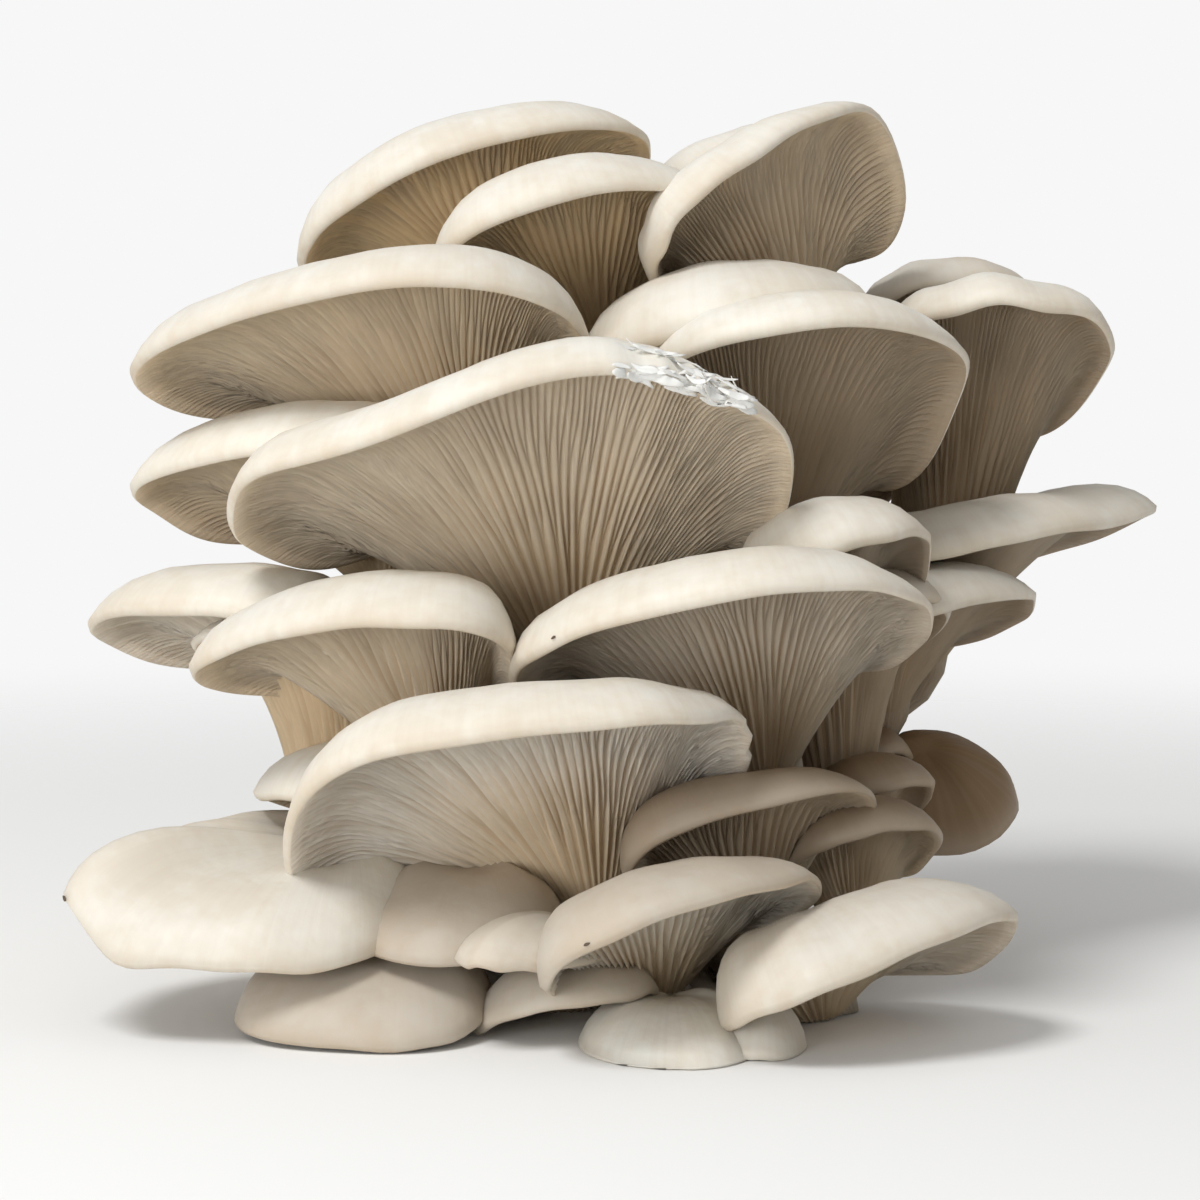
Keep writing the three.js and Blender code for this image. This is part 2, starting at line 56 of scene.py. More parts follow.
# Cap section, millimetres
BAND_EXTRA = 3.5  # flesh behind the visible band of the margin
CURL_SHARE = 0.55  # part of the margin's thickness that hangs below the cap
BULGE = 1.8  # how far the margin swells outwards
BELL = 1.5  # how fast the underside leaves the stem: 1 is a cone
DIP = 3.0  # hollow in the middle of the cap
HANG_AT = 118  # degrees from the front where the side lobes hang lowest
HANG_SPREAD = 34
TAPER_AT = 100  # degrees from the front where the margin is thinnest
TAPER_SPREAD = 50
MIN_FLESH = 0.75  # least flesh above the underside, as a share of the margin's thickness
BLEND = 2.0  # softness of the join between the crown and the lobes
SHOULDER_SHARE = 0.8  # how far the shoulder lies in from the lip, as a share of the thickness
SHOULDER_MORE = 6  # and as a further length
THIN_FLESH = 0.45  # share of the flesh that stays however narrow the cap is
COLLAR_POWER = 1.5  # how fast the stem's ring dies out along the underside
BITE_POWER = 14  # how close to the lip the bite of a tear stays
CROWN_POWER = 2.2  # how late the top falls away towards the margin
CROWN_AHEAD = 0.35  # where the crown lies, as a share of the way from the seat to the cap's middle
CROWN_ARCH = 0.35  # share of the sides' droop that the crown follows
MARGIN_STEPS = (0.08, 0.2, 0.34, 0.5, 0.66, 0.82, 1.0)  # from the lip to the shoulder
TOP_STEPS = (0.9, 0.79, 0.68, 0.56, 0.44, 0.32, 0.2, 0.1)  # from the shoulder to the crown
COAT_SMOOTHING = 6  # passes

# Dents: wavelengths and depths of ripples. Where their sum is below the level, the surface is
# pressed in.
CAP_DENTS = ((26, 0.45), (9, 0.18))
CAP_DENT_LEVEL = 0.15
CAP_DENTS_FROM = 5  # rings from the lip to the first full dents
BUTT_DENTS = ((17, 0.5), (5, 0.25))
BUTT_DENT_LEVEL = 0.3

# Stems
STEM_STEPS = (0, 0.25, 0.48, 0.67, 0.82, 0.93)  # from the foot towards the seat
STEM_ARRIVES = (0.75, 0.55)  # along the cap's normal and ahead, as it meets the cap
STEM_LEAVES = 0.25  # how much more upright than straight to the cap it leaves the butt

# Feet of the stems inside the butt
BUTT_CENTRE_X = 4
FOOT_X = 0.42
FOOT_Y = (18, 0.1)
FOOT_Z = 0.58
FOOT_LOW = 4
FOOT_SHARE = 0.9

# Butt rings: height, centre y, half width, half depth
BUTT_RINGS = (
    (0, 15, 33, 23),
    (12, 16, 38, 25),
    (34, 18, 43, 25),
    (58, 20, 44, 23),
    (80, 23, 43, 21),
    (98, 26, 38, 18),
    (112, 28, 25, 14),
)
BUTT_TOP = (2, 29, 119)
BUTT_FLUTES = 7
BUTT_FLUTE_DEPTH = 0.06
BUTT_TWIST = 0.02  # radians a millimetre
BUTT_FLUTE_SHARE = 0.85  # part of the flutes' depth that the flesh shows
BUTT_FURROWS = (19, 43)  # two finer sets of flutes
BUTT_FURROW_SHARES = (0.35, 0.25)
BUTT_FURROW_DEPTH = 0.012
BUTT_SIDES = 224
BUTT_CUT_HEIGHTS = (0, 0.6, 2)  # close rings over the edge of the cut
BUTT_ROWS = 46  # rings above those
BUTT_BASE_SHARES = (0.15, 0.4, 0.65, 0.85, 0.95)  # rings of the flat cut, from its middle
BUTT_TOP_SHARES = (0.86, 0.12, 8)  # first, last and number of the rings that close the top
BUTT_SMOOTHING = 12  # passes
BUTT_GRAIN_RADIUS = 40

# One sector of gills is a primary, a tertiary, a secondary and a tertiary. Each has a column of
# vertices on its edge and one in the hollow behind it.
TIERS = (0, 2, 1, 2)
SECTOR = 2 * len(TIERS)
COAT_STRIDE = 4  # gill columns for each column of the cap's skin
DEEPEST = 1.3  # deepest hollow, in distances between neighbouring gills
# Places along a gill are shares of the way from the neck to the lip
SECOND_RISES = (0.22, 0.42)
THIRD_RISES = (0.50, 0.72)
RISE_JITTER = 0.06
NECK_END = 0.28  # where the full depth is reached
LIP_FADE = (0.86, 0.985)
NECK_DEPTH = 0.34  # depth at the neck, as a share of the full depth
LIP_SHALLOWER = 0.25  # share of the depth that is lost on the way to the lip
CREST_UNEVEN = 0.25  # how much a gill's height varies along it
# Sideways waves: number for each gill round the cap, radians gained from neck to lip, and height in
# distances between gills
GILL_WAVES = ((0.02, 6.0, 0.7), (0.06, 11.0, 0.3), (0.15, 19.0, 0.08))
FULL_REACH = 60  # reach of a mushroom with full-sized gills
SMALLEST = 0.35  # least size of the gills, as a share of those
FEWEST_ROWS = 9
MORE_ROWS = 14  # further rows on a full-sized mushroom
ROW_CROWDING = 0.10  # how much closer the rows lie at the neck and the lip
# Cosines of the turn over two rows: no depth up to the first, full depth from the second on
SHARP_FOLD, SOFT_FOLD = 0.5, 0.9

# Painted values: across is -1 at the stem's foot, 0 at the neck, 1 at the lip and 2 by the crown
COAT_ACROSS = (1.05, 2.0)
ENDS_ACROSS = (-1.0, 2.1)  # the foot's and the crown's own points
SCRAP_ACROSS = 1.5
GRAIN_SHIFT = 37.0  # between mushrooms, so that no two have the same fibres

# Order of a mushroom's materials
SKIN, GILLS, STEM = range(3)

# Each mushroom: seat is where the stem's axis meets the cap. The cap leaves it towards heading
# (degrees from -Y, positive to +X), raised by tilt and rolled by roll. From the seat the lip lies
# reach in front and behind at the back, width across, shifted sideways, wider in front by fan.
# rise is the funnel's height, arch the droop of both sides, hang the droop of the left and right
# lobe, band the visible thickness of the margin, taper how much thinner it is on the right, stem
# the stem's radius. A lobe is a wave of the lip: degrees from the front, spread, how far out and
# how far up. tone takes the cap's skin from fresh cream at 0 to brown at 1: the brown
# of older caps, and painted shade on caps that lie low under others. warmth takes the gills
# from pale to warm beige: painted warm light bounced between the caps, most on the deep-set ones.
# age takes the gills and the stem to dark brown: painted shade on undersides that lie low
# and on the right, away from the light.
MUSHROOMS = {
    "mushroom_01": dict(seat=(-22, 25, 136.5), heading=-4, tilt=16, roll=21, reach=45, behind=8,
        width=72, rise=10, stem=8, band=11, shift=1, arch=3, hang=(4, 5), taper=0.3, tone=0.1,
        warmth=1, age=0.12),
    "mushroom_02": dict(seat=(-1, 5, 124), heading=-7, tilt=16, roll=17, reach=50, behind=8, width=56,
        rise=11, stem=7.5, band=12, shift=2, hang=(4, 3), taper=0.35, tone=0.1, warmth=1, age=0.15),
    "mushroom_03": dict(seat=(35, 8, 125), heading=-5, tilt=16, roll=42, reach=54, behind=13, width=51,
        rise=15, stem=10, band=8, shift=10.5, hang=(4, 17), taper=0.3, lobes=[(66, 24, 3, 0)],
        tone=0.1, warmth=0.6, age=0.25),
    "mushroom_04": dict(seat=(31, 35, 139), heading=-10, tilt=16, roll=36, reach=40, behind=8,
        width=44, rise=7, stem=6, band=8, shift=3, arch=3, taper=0.2, tone=0.1, warmth=0.8, age=0.5),
    "mushroom_05": dict(seat=(71, 38, 117), heading=2, tilt=14, roll=8, reach=33, behind=6, width=34,
        rise=9, stem=5.5, band=6, fan=0.3, taper=0.2, tone=0.3, warmth=0.6, age=0.8),
    "mushroom_06": dict(seat=(71, 24, 78), heading=10, tilt=18, roll=-2, reach=64, behind=7, width=45,
        rise=33, stem=12, band=8.5, shift=0.5, fan=0.3, arch=3, hang=(8, 8), taper=0.4, tone=0.04,
        warmth=0.7, age=0.8),
    "mushroom_07": dict(seat=(31, -8, 82.5), heading=13, tilt=16, roll=2, reach=60, behind=7, width=60,
        rise=27, stem=11, band=9, shift=3, fan=0.25, hang=(6, 18), taper=0.5, tone=0.02, warmth=0.6,
        age=0.7),
    "mushroom_08": dict(seat=(28, 5, 109), heading=-5, tilt=6, roll=11, reach=55, behind=8, width=54,
        rise=10, stem=7, band=12, shift=2, fan=0.3, taper=0.2, tone=0.12, warmth=0.5, age=0.5),
    "mushroom_09": dict(seat=(-26, -5, 95), heading=-8, tilt=16, roll=4, reach=65, behind=8, width=86,
        rise=20, stem=8.5, band=10, shift=-15, arch=4, hang=(4, 4), taper=0.15, tone=0.13, warmth=0.6),
    "mushroom_10": dict(seat=(-42, -5, 77), heading=-22, tilt=14, roll=4, reach=50, behind=7, width=64,
        rise=13, stem=7, band=11.5, shift=-7, fan=0.3, hang=(6, 3), taper=0.1, tone=0.02, warmth=0.6,
        age=0.2),
    "mushroom_11": dict(seat=(-6, -25, 65), heading=-6, tilt=17, roll=4, reach=71, behind=8, width=102,
        rise=31, stem=9, band=9.5, shift=-6, fan=0.15, arch=5, hang=(12, 14), taper=0.6,
        lobes=[(-32, 28, 0, -7), (-80, 24, 0, -5), (16, 22, 0, 2)], tone=0.06, warmth=0.45, age=0.12),
    "mushroom_12": dict(seat=(-52, 0, 51), heading=-26, tilt=12, roll=0, reach=53, behind=6, width=52,
        rise=10, stem=6, band=9, shift=-12, fan=0.3, hang=(5, 3), tone=0.08),
    "mushroom_13": dict(seat=(-29, -30, 42), heading=-7, tilt=16, roll=2, reach=58, behind=7, width=58,
        rise=16, stem=7.5, band=11, shift=-13, fan=0.2, arch=4, hang=(1, 4), taper=0.1, tone=0.1,
        warmth=0.45),
    "mushroom_14": dict(seat=(-47, -18, 41.8), heading=-28, tilt=14, roll=-4, reach=40, behind=6,
        width=40, rise=16, stem=14, band=4, shift=-4, fan=0.3, hang=(4, 2), tone=0.2, warmth=0.8,
        age=0.3),
    "mushroom_15": dict(seat=(-37, -25, 29), heading=-24, tilt=6, roll=0, reach=38, behind=6, width=30,
        rise=6, stem=5, band=8, shift=-4, fan=0.3, arch=1, hang=(3, 3), tone=0.05, warmth=0.5),
    "mushroom_16": dict(seat=(-2, -48, 22), heading=-9, tilt=16, roll=12, reach=62, behind=10,
        width=84, rise=18, stem=9, band=10, shift=-6, arch=6, hang=(22, 2), taper=0.5,
        lobes=[(-35, 24, 3, 3), (74, 26, 0, 6)], tone=0.1, warmth=0.05, age=0.02),
    "mushroom_17": dict(seat=(30, -35, 43), heading=-10, tilt=16, roll=12, reach=64, behind=8,
        width=74, rise=18, stem=8, band=10, shift=0.5, fan=0.2, hang=(3, 5), taper=0.45, tone=0.1,
        warmth=0.2, age=0.4),
    "mushroom_18": dict(seat=(65, 15, 59), heading=15, tilt=14, roll=9, reach=46, behind=6, width=50,
        rise=13.5, stem=6, band=9, shift=13, fan=0.2, arch=0, hang=(3, 0), taper=0.2,
        lobes=[(78, 18, 8, 3)], tone=0.02, age=0.7),
    "mushroom_19": dict(seat=(55, 5, 51), heading=15, tilt=14, roll=13, reach=44, behind=6, width=40,
        rise=10, stem=7.5, band=9, shift=8, fan=0.3, hang=(3, 4), taper=0.3, tone=0.03, warmth=0.4,
        age=0.8),
    "mushroom_20": dict(seat=(46, -13, 35), heading=4, tilt=16, roll=5, reach=40, behind=6, width=40,
        rise=30, stem=8, band=7, shift=1, fan=0.3, hang=(2, 4), tone=0.4, warmth=0.6, age=0.8),
    "mushroom_21": dict(seat=(46, -20, 63), heading=-1, tilt=14, roll=21, reach=50, behind=6, width=33,
        rise=10, stem=6, band=11, shift=3, fan=0.3, arch=0, hang=(4, 8), taper=0.3, tone=0.08, age=0.6),
    "mushroom_22": dict(seat=(28, -35, 10), heading=-6, tilt=16, roll=23, reach=52, behind=6, width=45,
        rise=15, stem=6.5, band=8, shift=8.5, fan=0.2, arch=3, hang=(4, 4), taper=0.4, tone=0.85,
        warmth=0.5, age=0.4),
    "mushroom_23": dict(seat=(51, -5, 21), heading=5, tilt=14, roll=15, reach=36, behind=6, width=20,
        rise=8, stem=4.5, band=6, shift=4, fan=0.3, arch=1, hang=(2, 4), tone=0.95, warmth=0.6,
        age=0.8),
    "mushroom_24": dict(seat=(63, 10, 36), heading=35, tilt=-45, roll=22, reach=25, behind=4, width=30,
        rise=6, stem=5.5, band=5, hang=(0, 0), tone=1, warmth=0.8, age=0.8),
    "mushroom_25": dict(seat=(49, -22, 7), heading=5, tilt=16, roll=12, reach=41, behind=6, width=28,
        rise=15, stem=5.5, band=7, shift=2, fan=0.25, hang=(3, 5), taper=0.3, tone=0.9, warmth=0.6,
        age=0.5),
    "mushroom_26": dict(seat=(52, 12, 25), heading=9, tilt=14, roll=5, reach=26, behind=5, width=18,
        rise=10, stem=4, band=5, arch=1, hang=(2, 3), tone=1, warmth=0.6, age=0.9),
    "mushroom_27": dict(seat=(9, -55, 3), heading=-1, tilt=14, roll=23, reach=59, behind=7, width=49,
        rise=8, stem=6.5, band=7, shift=9.5, fan=0.2, arch=3, hang=(3, 4), taper=0.3, tone=0.5,
        warmth=0.1, age=0.0),
    "mushroom_28": dict(seat=(38, -58, 3), heading=5, tilt=12, roll=21, reach=50, behind=7, width=54,
        rise=2, stem=9, band=9, shift=9, fan=0.2, arch=1, hang=(2, 8), taper=0.2, tone=0.27, age=0.3),
    "mushroom_29": dict(seat=(13, -61, -0.5), heading=0, tilt=-4, roll=0, reach=42, behind=4, width=31,
        rise=1, stem=4.5, band=3.5, arch=1, hang=(0, 0), tone=0.0),
    "mushroom_30": dict(seat=(25, -63, 0), heading=6, tilt=-4, roll=-6, reach=34, behind=4, width=16,
        rise=1, stem=4, band=4, arch=1, hang=(0, 0), tone=0.1),
    "mushroom_31": dict(seat=(-3, -50, 0), heading=-9, tilt=6, roll=14, reach=38, behind=6, width=32,
        rise=2, stem=5, band=5, fan=0.25, hang=(2, 2), tone=0.45, age=0.7),
    "mushroom_32": dict(seat=(0, -72, 13), heading=-50, tilt=0, roll=0, reach=30, behind=5, width=17,
        rise=2, stem=4.5, band=4, arch=1, hang=(0, 0), tone=0.35),
    "mushroom_33": dict(seat=(-37, -44, 3), heading=-10, tilt=-7, roll=0, reach=50, behind=4, width=42,
        rise=3, stem=5, band=7, fan=0.3, arch=0, hang=(0, 0), lobes=[(0, 30, -3, 0)], tone=0.55,
        age=0.3),
    "mushroom_34": dict(seat=(-45, -38, 19), heading=-42, tilt=-9, roll=-9, reach=56, behind=4,
        width=58, rise=6, stem=6.5, band=7, shift=2, arch=1, hang=(0, 0),
        lobes=[(-22, 14, 5, 6), (2, 18, 4, -2)], tone=0.2),
    "mushroom_35": dict(seat=(-22, -48, 17), heading=-12, tilt=-12, roll=0, reach=38, behind=6,
        width=36, rise=5, stem=6, band=6, arch=1, hang=(0, 0), tone=0.6),
}
DEFAULTS = dict(shift=0, fan=0.12, arch=2, hang=(5, 5), lobes=(), taper=0, warmth=0.2, age=0.1)

# Torn places of a lip: degrees from the front, spread, depth of the bite, how far ridges of it
# stand out, and how white and shredded it is
TEARS = {
    "mushroom_11": [(33, 15, 3.0, 0.6, 1.0)],
    "mushroom_16": [(81, 17, 1.0, 0.2, 0.0)],
    "mushroom_29": [(4, 4, 2.5, 0.0, 0.8)],
}
RAGGED_ROWS = 2.2  # rings of the margin over which a tear's roughness dies out
RAGGED_WAVELENGTH = 4.5
RAGGED_HEIGHT = 0.8

# Scraps of flesh along the tears that stand out
SHREDS_PER_DEGREE = 6  # of spread, where a tear is all white and stands out by a millimetre
SHRED_ROWS = 4  # rings of the margin, counted from the lip, that they lie on
SHRED_PLACES = 0.9  # part of the tear's spread that they keep to
SHRED_LENGTH = (4.0, 9.0)
SHRED_HALF_WIDTH = (0.4, 1.0)
SHRED_TILT = 0.16  # how much the scraps differ from lying flat on the margin
SHRED_TURN = 0.08  # and from running along the lip
SHRED_BEND = (-0.25, 0.35)
SHRED_TWIST = (-0.4, 0.4)
SHRED_JAG = 0.12
SHRED_FLATNESS = 0.2
SHRED_ENDS = (0.04, 0.96)
SHRED_STEPS = 8

# Small brown bruises on a lip: degrees from the front and radius
BRUISES = {
    "mushroom_17": [(-36, 0.6)],
    "mushroom_27": [(-14, 0.6)],
    "mushroom_34": [(-22, 0.9)],
}

# Stage, metres
FLOOR_RADIUS = 1.5
FLOOR_SIDES = 96
FLOOR_DROP = 0.0002
FLOOR_FADE = (0.15, 0.6)
MAIN_LIGHT_AT = (-0.40, -0.52, 1.0)
MAIN_LIGHT_SIZE = 0.42
LOW_LIGHT_AT = (-0.50, -0.85, 0.13)
LOW_LIGHT_SIZE = 0.45
LIGHTS_AIM_AT = (0, 0, 0.08)
SENSOR_WIDTH = 36  # millimetres
LENS = 97.5  # millimetres
NEAREST_SEEN = 0.01


def unit(v):
    """The direction of v."""
    v = np.asarray(v, float)
    return v / np.linalg.norm(v)


def step(low, high, x):
    """0 up to low and 1 from high on, with a smooth change between them."""
    t = np.clip((x - low) / (high - low), 0, 1)
    return t * t * (3 - 2 * t)


def smooth_max(a, b):
    """The larger of a and b, with a soft change from one to the other."""
    return 0.5 * (a + b + np.hypot(a - b, BLEND))


def waves(rng, count, slowest, fastest):
    """Random sine waves round a circle: whole numbers of turns, heights and phases."""
    turns = rng.integers(slowest, fastest + 1, count)
    heights = rng.uniform(0.4, 1.0, count) / turns
    phases = rng.uniform(0, 2 * math.pi, count)
    return turns, heights / heights.sum(), phases


def wave_at(wave, phi):
    """Height of such waves at phi, between -1 and 1."""
    turns, heights, phases = wave
    return sum(h * np.sin(k * phi + p) for k, h, p in zip(turns, heights, phases))


def ripple(points, wavelength, rng):
    """Smooth noise between about -1 and 1 at points, as a sum of plane waves."""
    count = 14
    total = np.zeros(points.shape[:-1])
    for _ in range(count):
        direction = unit(rng.normal(size=3))
        k = 2 * math.pi / (wavelength * rng.uniform(0.7, 1.5))
        total += np.sin(points @ direction * k + rng.uniform(0, 2 * math.pi))
    return total * 1.6 / count


def dents(points, sizes, level, rng):
    """How far points are pressed in, as numbers that are never above 0."""
    depth = sum(deep * ripple(points, wavelength, rng) for wavelength, deep in sizes)
    return np.minimum(0, depth - level)


def quads(grid):
    """Faces between the rings of a grid of point numbers."""
    a, b = grid[:-1], grid[1:]
    return np.stack([a, np.roll(a, -1, 1), np.roll(b, -1, 1), b], -1).reshape(-1, 4)


def fan(point, ring, below=False):
    """Triangles that close a ring of point numbers with one point above or below it."""
    after = np.roll(ring, -1)
    edges = [after, ring] if below else [ring, after]
    return np.stack([np.full(len(ring), point), *edges], -1)


def cylinder_grain(phi, height, radius):
    """Points of a cylinder, which give the fibres their places: they run along it."""
    grain = np.broadcast_arrays(radius * np.cos(phi), radius * np.sin(phi), height)
    return np.stack(grain, -1).reshape(-1, 3)


class Mushroom:
    """The surface of one mushroom, as formulas of an angle phi round the seat."""

    def __init__(self, name, numbers, index):
        for key, value in {**DEFAULTS, **numbers}.items():
            setattr(self, key, value)
        self.name = name
        self.rng = np.random.default_rng(100 + index)
        self.index = index
        self.seat = np.array(self.seat, float)
        self.ahead, self.right, self.normal = self.axes()
        self.lip_out = waves(self.rng, 7, 3, 11)
        self.lip_up = waves(self.rng, 7, 4, 13)
        self.tears = TEARS.get(name, [])
        self.shred = waves(self.rng, 9, 29, 61)
        self.build_stem()

    def axes(self):
        """Directions ahead, to the right and out of the top of the cap."""
        a, t, r = (math.radians(x) for x in (self.heading, self.tilt, self.roll))
        flat = np.array([math.sin(a), -math.cos(a), 0.0])
        up = np.array([0.0, 0.0, 1.0])
        ahead = flat * math.cos(t) + up * math.sin(t)
        top = up * math.cos(t) - flat * math.sin(t)
        side = np.cross(top, ahead)
        right = side * math.cos(r) + top * math.sin(r)
        normal = top * math.cos(r) - side * math.sin(r)
        return ahead, right, normal

    def build_stem(self):
        """The four control points of the stem, from its foot in the butt to the seat."""
        x, y, z = self.seat
        foot_x = BUTT_CENTRE_X + FOOT_X * (x - BUTT_CENTRE_X)
        foot_y = FOOT_Y[0] + FOOT_Y[1] * (y - FOOT_Y[0])
        foot = np.array([foot_x, foot_y, max(FOOT_LOW, FOOT_Z * z)])
        span = self.seat - foot
        third = np.linalg.norm(span) / 3
        arrive = unit(STEM_ARRIVES[0] * self.normal + STEM_ARRIVES[1] * self.ahead)
        leave = unit(unit(span) + np.array([0, 0, STEM_LEAVES]))
        self.path = [foot, foot + leave * third, self.seat - arrive * third, self.seat]

    def stem_rings(self, steps):
        """Centre, front and side directions and radius of the stem at each step, the seat last."""
        p0, p1, p2, p3 = self.path
        front = self.ahead
        rings = []
        for t in reversed(steps):
            s = 1 - t
            centre = s**3 * p0 + 3 * s * s * t * p1 + 3 * s * t * t * p2 + t**3 * p3
            tangent = unit(s * s * (p1 - p0) + 2 * s * t * (p2 - p1) + t * t * (p3 - p2))
            front = unit(front - np.dot(front, tangent) * tangent)
            side = np.cross(tangent, front)
            if np.dot(side, self.right) < 0:
                side = -side
            rings.append((centre, front, side, self.stem * (FOOT_SHARE + (1 - FOOT_SHARE) * t)))
        return rings[::-1]

    def torn(self, phi):
        """How deep the lip is bitten at phi, in millimetres, and the white torn share."""
        bite = np.zeros_like(phi)
        share = np.zeros_like(phi)
        for at, spread, deep, shreds, white in self.tears:
            away = (np.degrees(phi) - at + 180) % 360 - 180
            inside = step(1.0, 0.7, np.abs(away) / spread)
            rough = 0.5 + 0.5 * np.clip(3 * wave_at(self.shred, phi), -1, 1)
            bite += inside * (deep * rough - shreds * (1 - rough))
            share = np.maximum(share, inside * white * (0.3 + 0.7 * rough))
        return bite, share

    def lip(self, phi):
        """The lip along ahead, along right and along normal."""
        c, s = np.cos(phi), np.sin(phi)
        degrees = np.degrees(phi) % 360
        u = (self.reach - self.behind) / 2 + (self.reach + self.behind) / 2 * c
        v = self.width / 2 * s * (1 + self.fan * c) + self.shift * s * s
        h = -self.arch * s * s
        h = h - self.hang[1] * np.exp(-(((degrees - HANG_AT) / HANG_SPREAD) ** 2))
        h = h - self.hang[0] * np.exp(-(((degrees - 360 + HANG_AT) / HANG_SPREAD) ** 2))
        for at, spread, out, lift in self.lobes:
            away = (degrees - at + 180) % 360 - 180
            wave = np.exp(-((away / spread) ** 2))
            u = u + out * wave * math.cos(math.radians(at))
            v = v + out * wave * math.sin(math.radians(at))
            h = h + lift * wave
        return u, v, h

    def bearing(self, phi):
        """Direction of the lip at phi as seen from the seat, where its gill leaves the neck."""
        u, v, _ = self.lip(phi)
        return np.arctan2(v, u)

    def section(self, phi, wobble):
        """Everything about the cap's radial section at phi that doesn't change along it."""
        u, v, h = self.lip(phi)
        radius = np.hypot(u, v)
        bite, torn = self.torn(phi)
        scale = 1 + wobble * wave_at(self.lip_out, phi) / np.maximum(radius, 8)
        u, v, radius = u * scale, v * scale, radius * scale
        h = h + wobble * wave_at(self.lip_up, phi) * step(8, 30, radius)
        thick = self.band + BAND_EXTRA
        shoulder = SHOULDER_SHARE * thick + SHOULDER_MORE
        size = np.clip(radius / (2 * shoulder), 0.3, 1)
        degrees = np.degrees(phi) % 360
        thin = 1 - self.taper * np.exp(-(((degrees - TAPER_AT) / TAPER_SPREAD) ** 2))
        curl = CURL_SHARE * thick * size * thin
        flesh = (1 - CURL_SHARE) * thick * (THIN_FLESH + (1 - THIN_FLESH) * size) * thin
        rim = np.clip(shoulder * size / radius, 0.1, 0.5)
        inner = np.clip(1 - shoulder * size / radius, 0.2, 0.95)
        flat = u[..., None] * self.ahead + v[..., None] * self.right
        bite = (bite / radius)[..., None] * flat
        total = curl + flesh
        parts = dict(phi=phi, h=h, curl=curl, rim=rim, inner=inner, flat=flat, bite=bite,
                     torn=torn, total=total, swell=BULGE * size * thin)
        fall = self.under(inner, parts) - self.under(1.0, parts)
        parts["inwards"] = smooth_max(total, fall + MIN_FLESH * total)
        return parts

    def under(self, x, s):
        """Height of the underside over the seat, at the share x of the way to the lip."""
        c = np.clip((x - 1 + s["rim"]) / s["rim"], 0, 1)
        rise = (self.rise + s["h"] + s["curl"]) * (1 - (1 - x) ** BELL)
        return rise - s["curl"] * c * c

    def neck(self, phi):
        """From the seat to the stem's skin, in the direction in which the gill at phi leaves."""
        _, front, side, radius = self.stem_rings([1.0])[0]
        phi = self.bearing(phi)
        return radius * (np.cos(phi)[..., None] * front + np.sin(phi)[..., None] * side)

    def underside(self, x, s):
        """Points of the underside without its gills, at the share x of the way to the lip."""
        collar = self.neck(s["phi"]) * ((1 - x) ** COLLAR_POWER)[..., None]
        height = self.under(x, s)[..., None] * self.normal
        bitten = s["flat"] * x[..., None] - s["bite"] * (x**BITE_POWER)[..., None]
        return self.seat + collar + bitten + height

    def margin(self, steps, s):
        """Rings from the lip over the margin to the shoulder."""
        lip = self.underside(np.ones_like(s["phi"]), s)
        across = np.roll(s["flat"], -1, 0) - np.roll(s["flat"], 1, 0)
        out = np.cross(across, self.normal)
        out /= np.linalg.norm(out, axis=1)[:, None]
        rings = []
        for t in steps:
            b1, b2, b3 = 3 * (1 - t) ** 2 * t, 3 * (1 - t) * t * t, t**3
            outwards = (1.6 * b1 + 1.3 * b2) * s["swell"]
            climb = b1 * 0.05 * s["total"] + b2 * 0.5 * (s["total"] + s["inwards"])
            climb = climb + b3 * s["inwards"]
            back = (b3 * (s["inner"] - 1))[:, None] * s["flat"] + b3 * s["bite"]
            rings.append(lip + out * outwards[:, None] + back + self.normal * climb[:, None])
        return rings

    def top(self, steps, s):
        """Rings from the shoulder to the crown, and the crown's point."""
        thick = self.band + BAND_EXTRA
        lead = (self.reach - self.behind) / 2
        crown = self.rise + thick - DIP - CROWN_ARCH * self.arch
        edge = self.under(1.0, s) + s["inwards"]
        rings = []
        for y in steps:
            height = crown + (edge - crown) * y**CROWN_POWER
            height = smooth_max(height, self.under(y * s["inner"], s) + MIN_FLESH * s["total"])
            slide = self.ahead * CROWN_AHEAD * lead * (1 - y) ** 3
            flat = (s["inner"] * y)[:, None] * s["flat"]
            rings.append(self.seat + slide + flat + self.normal * height[:, None])
        point = self.seat + self.ahead * CROWN_AHEAD * lead + self.normal * crown
        return rings, point


def gill_angles(shape, gills, x):
    """Angle of every column at every x, which columns are edges, and how far they have risen.

    x is a column vector of shares of the way from the neck to the lip. One gill in four reaches
    the neck. Halfway between two of those a second one rises, then a third kind on both sides of
    it. The older gills narrow as the younger ones need room.
    """
    rng = shape.rng
    column = np.arange(gills * 2)
    index = column // 2
    sector = column // SECTOR
    place = column % SECTOR
    starts = rng.uniform(-RISE_JITTER, RISE_JITTER, (2, gills // len(TIERS)))
    second = step(SECOND_RISES[0] + starts[0][sector], SECOND_RISES[1] + starts[0][sector], x)
    third = step(THIRD_RISES[0] + starts[1][sector], THIRD_RISES[1] + starts[1][sector], x)
    away = np.minimum(place, SECTOR - place)
    spots = (0, 1.25 - 0.40 * second - 0.35 * third, 1.55 - 0.55 * second,
             1.80 - 0.65 * second + 0.35 * third, 2)
    spot = sum((away == i) * value for i, value in enumerate(spots))
    spot = np.where(place > SECTOR // 2, len(TIERS) - spot, spot)
    at = len(TIERS) * sector + spot
    lean = 0.0
    for share, along, high in GILL_WAVES:
        turns = round(share * gills)
        phase = rng.uniform(0, 2 * math.pi)
        lean = lean + high * np.sin(2 * math.pi * turns * at / gills + along * x + phase)
    phi = 2 * math.pi * (at + lean) / gills
    tier = np.array(TIERS)[index % len(TIERS)]
    grown = np.where(tier == 0, 1.0, np.where(tier == 1, second, third))
    return phi, 1.0 - column % 2, grown, index


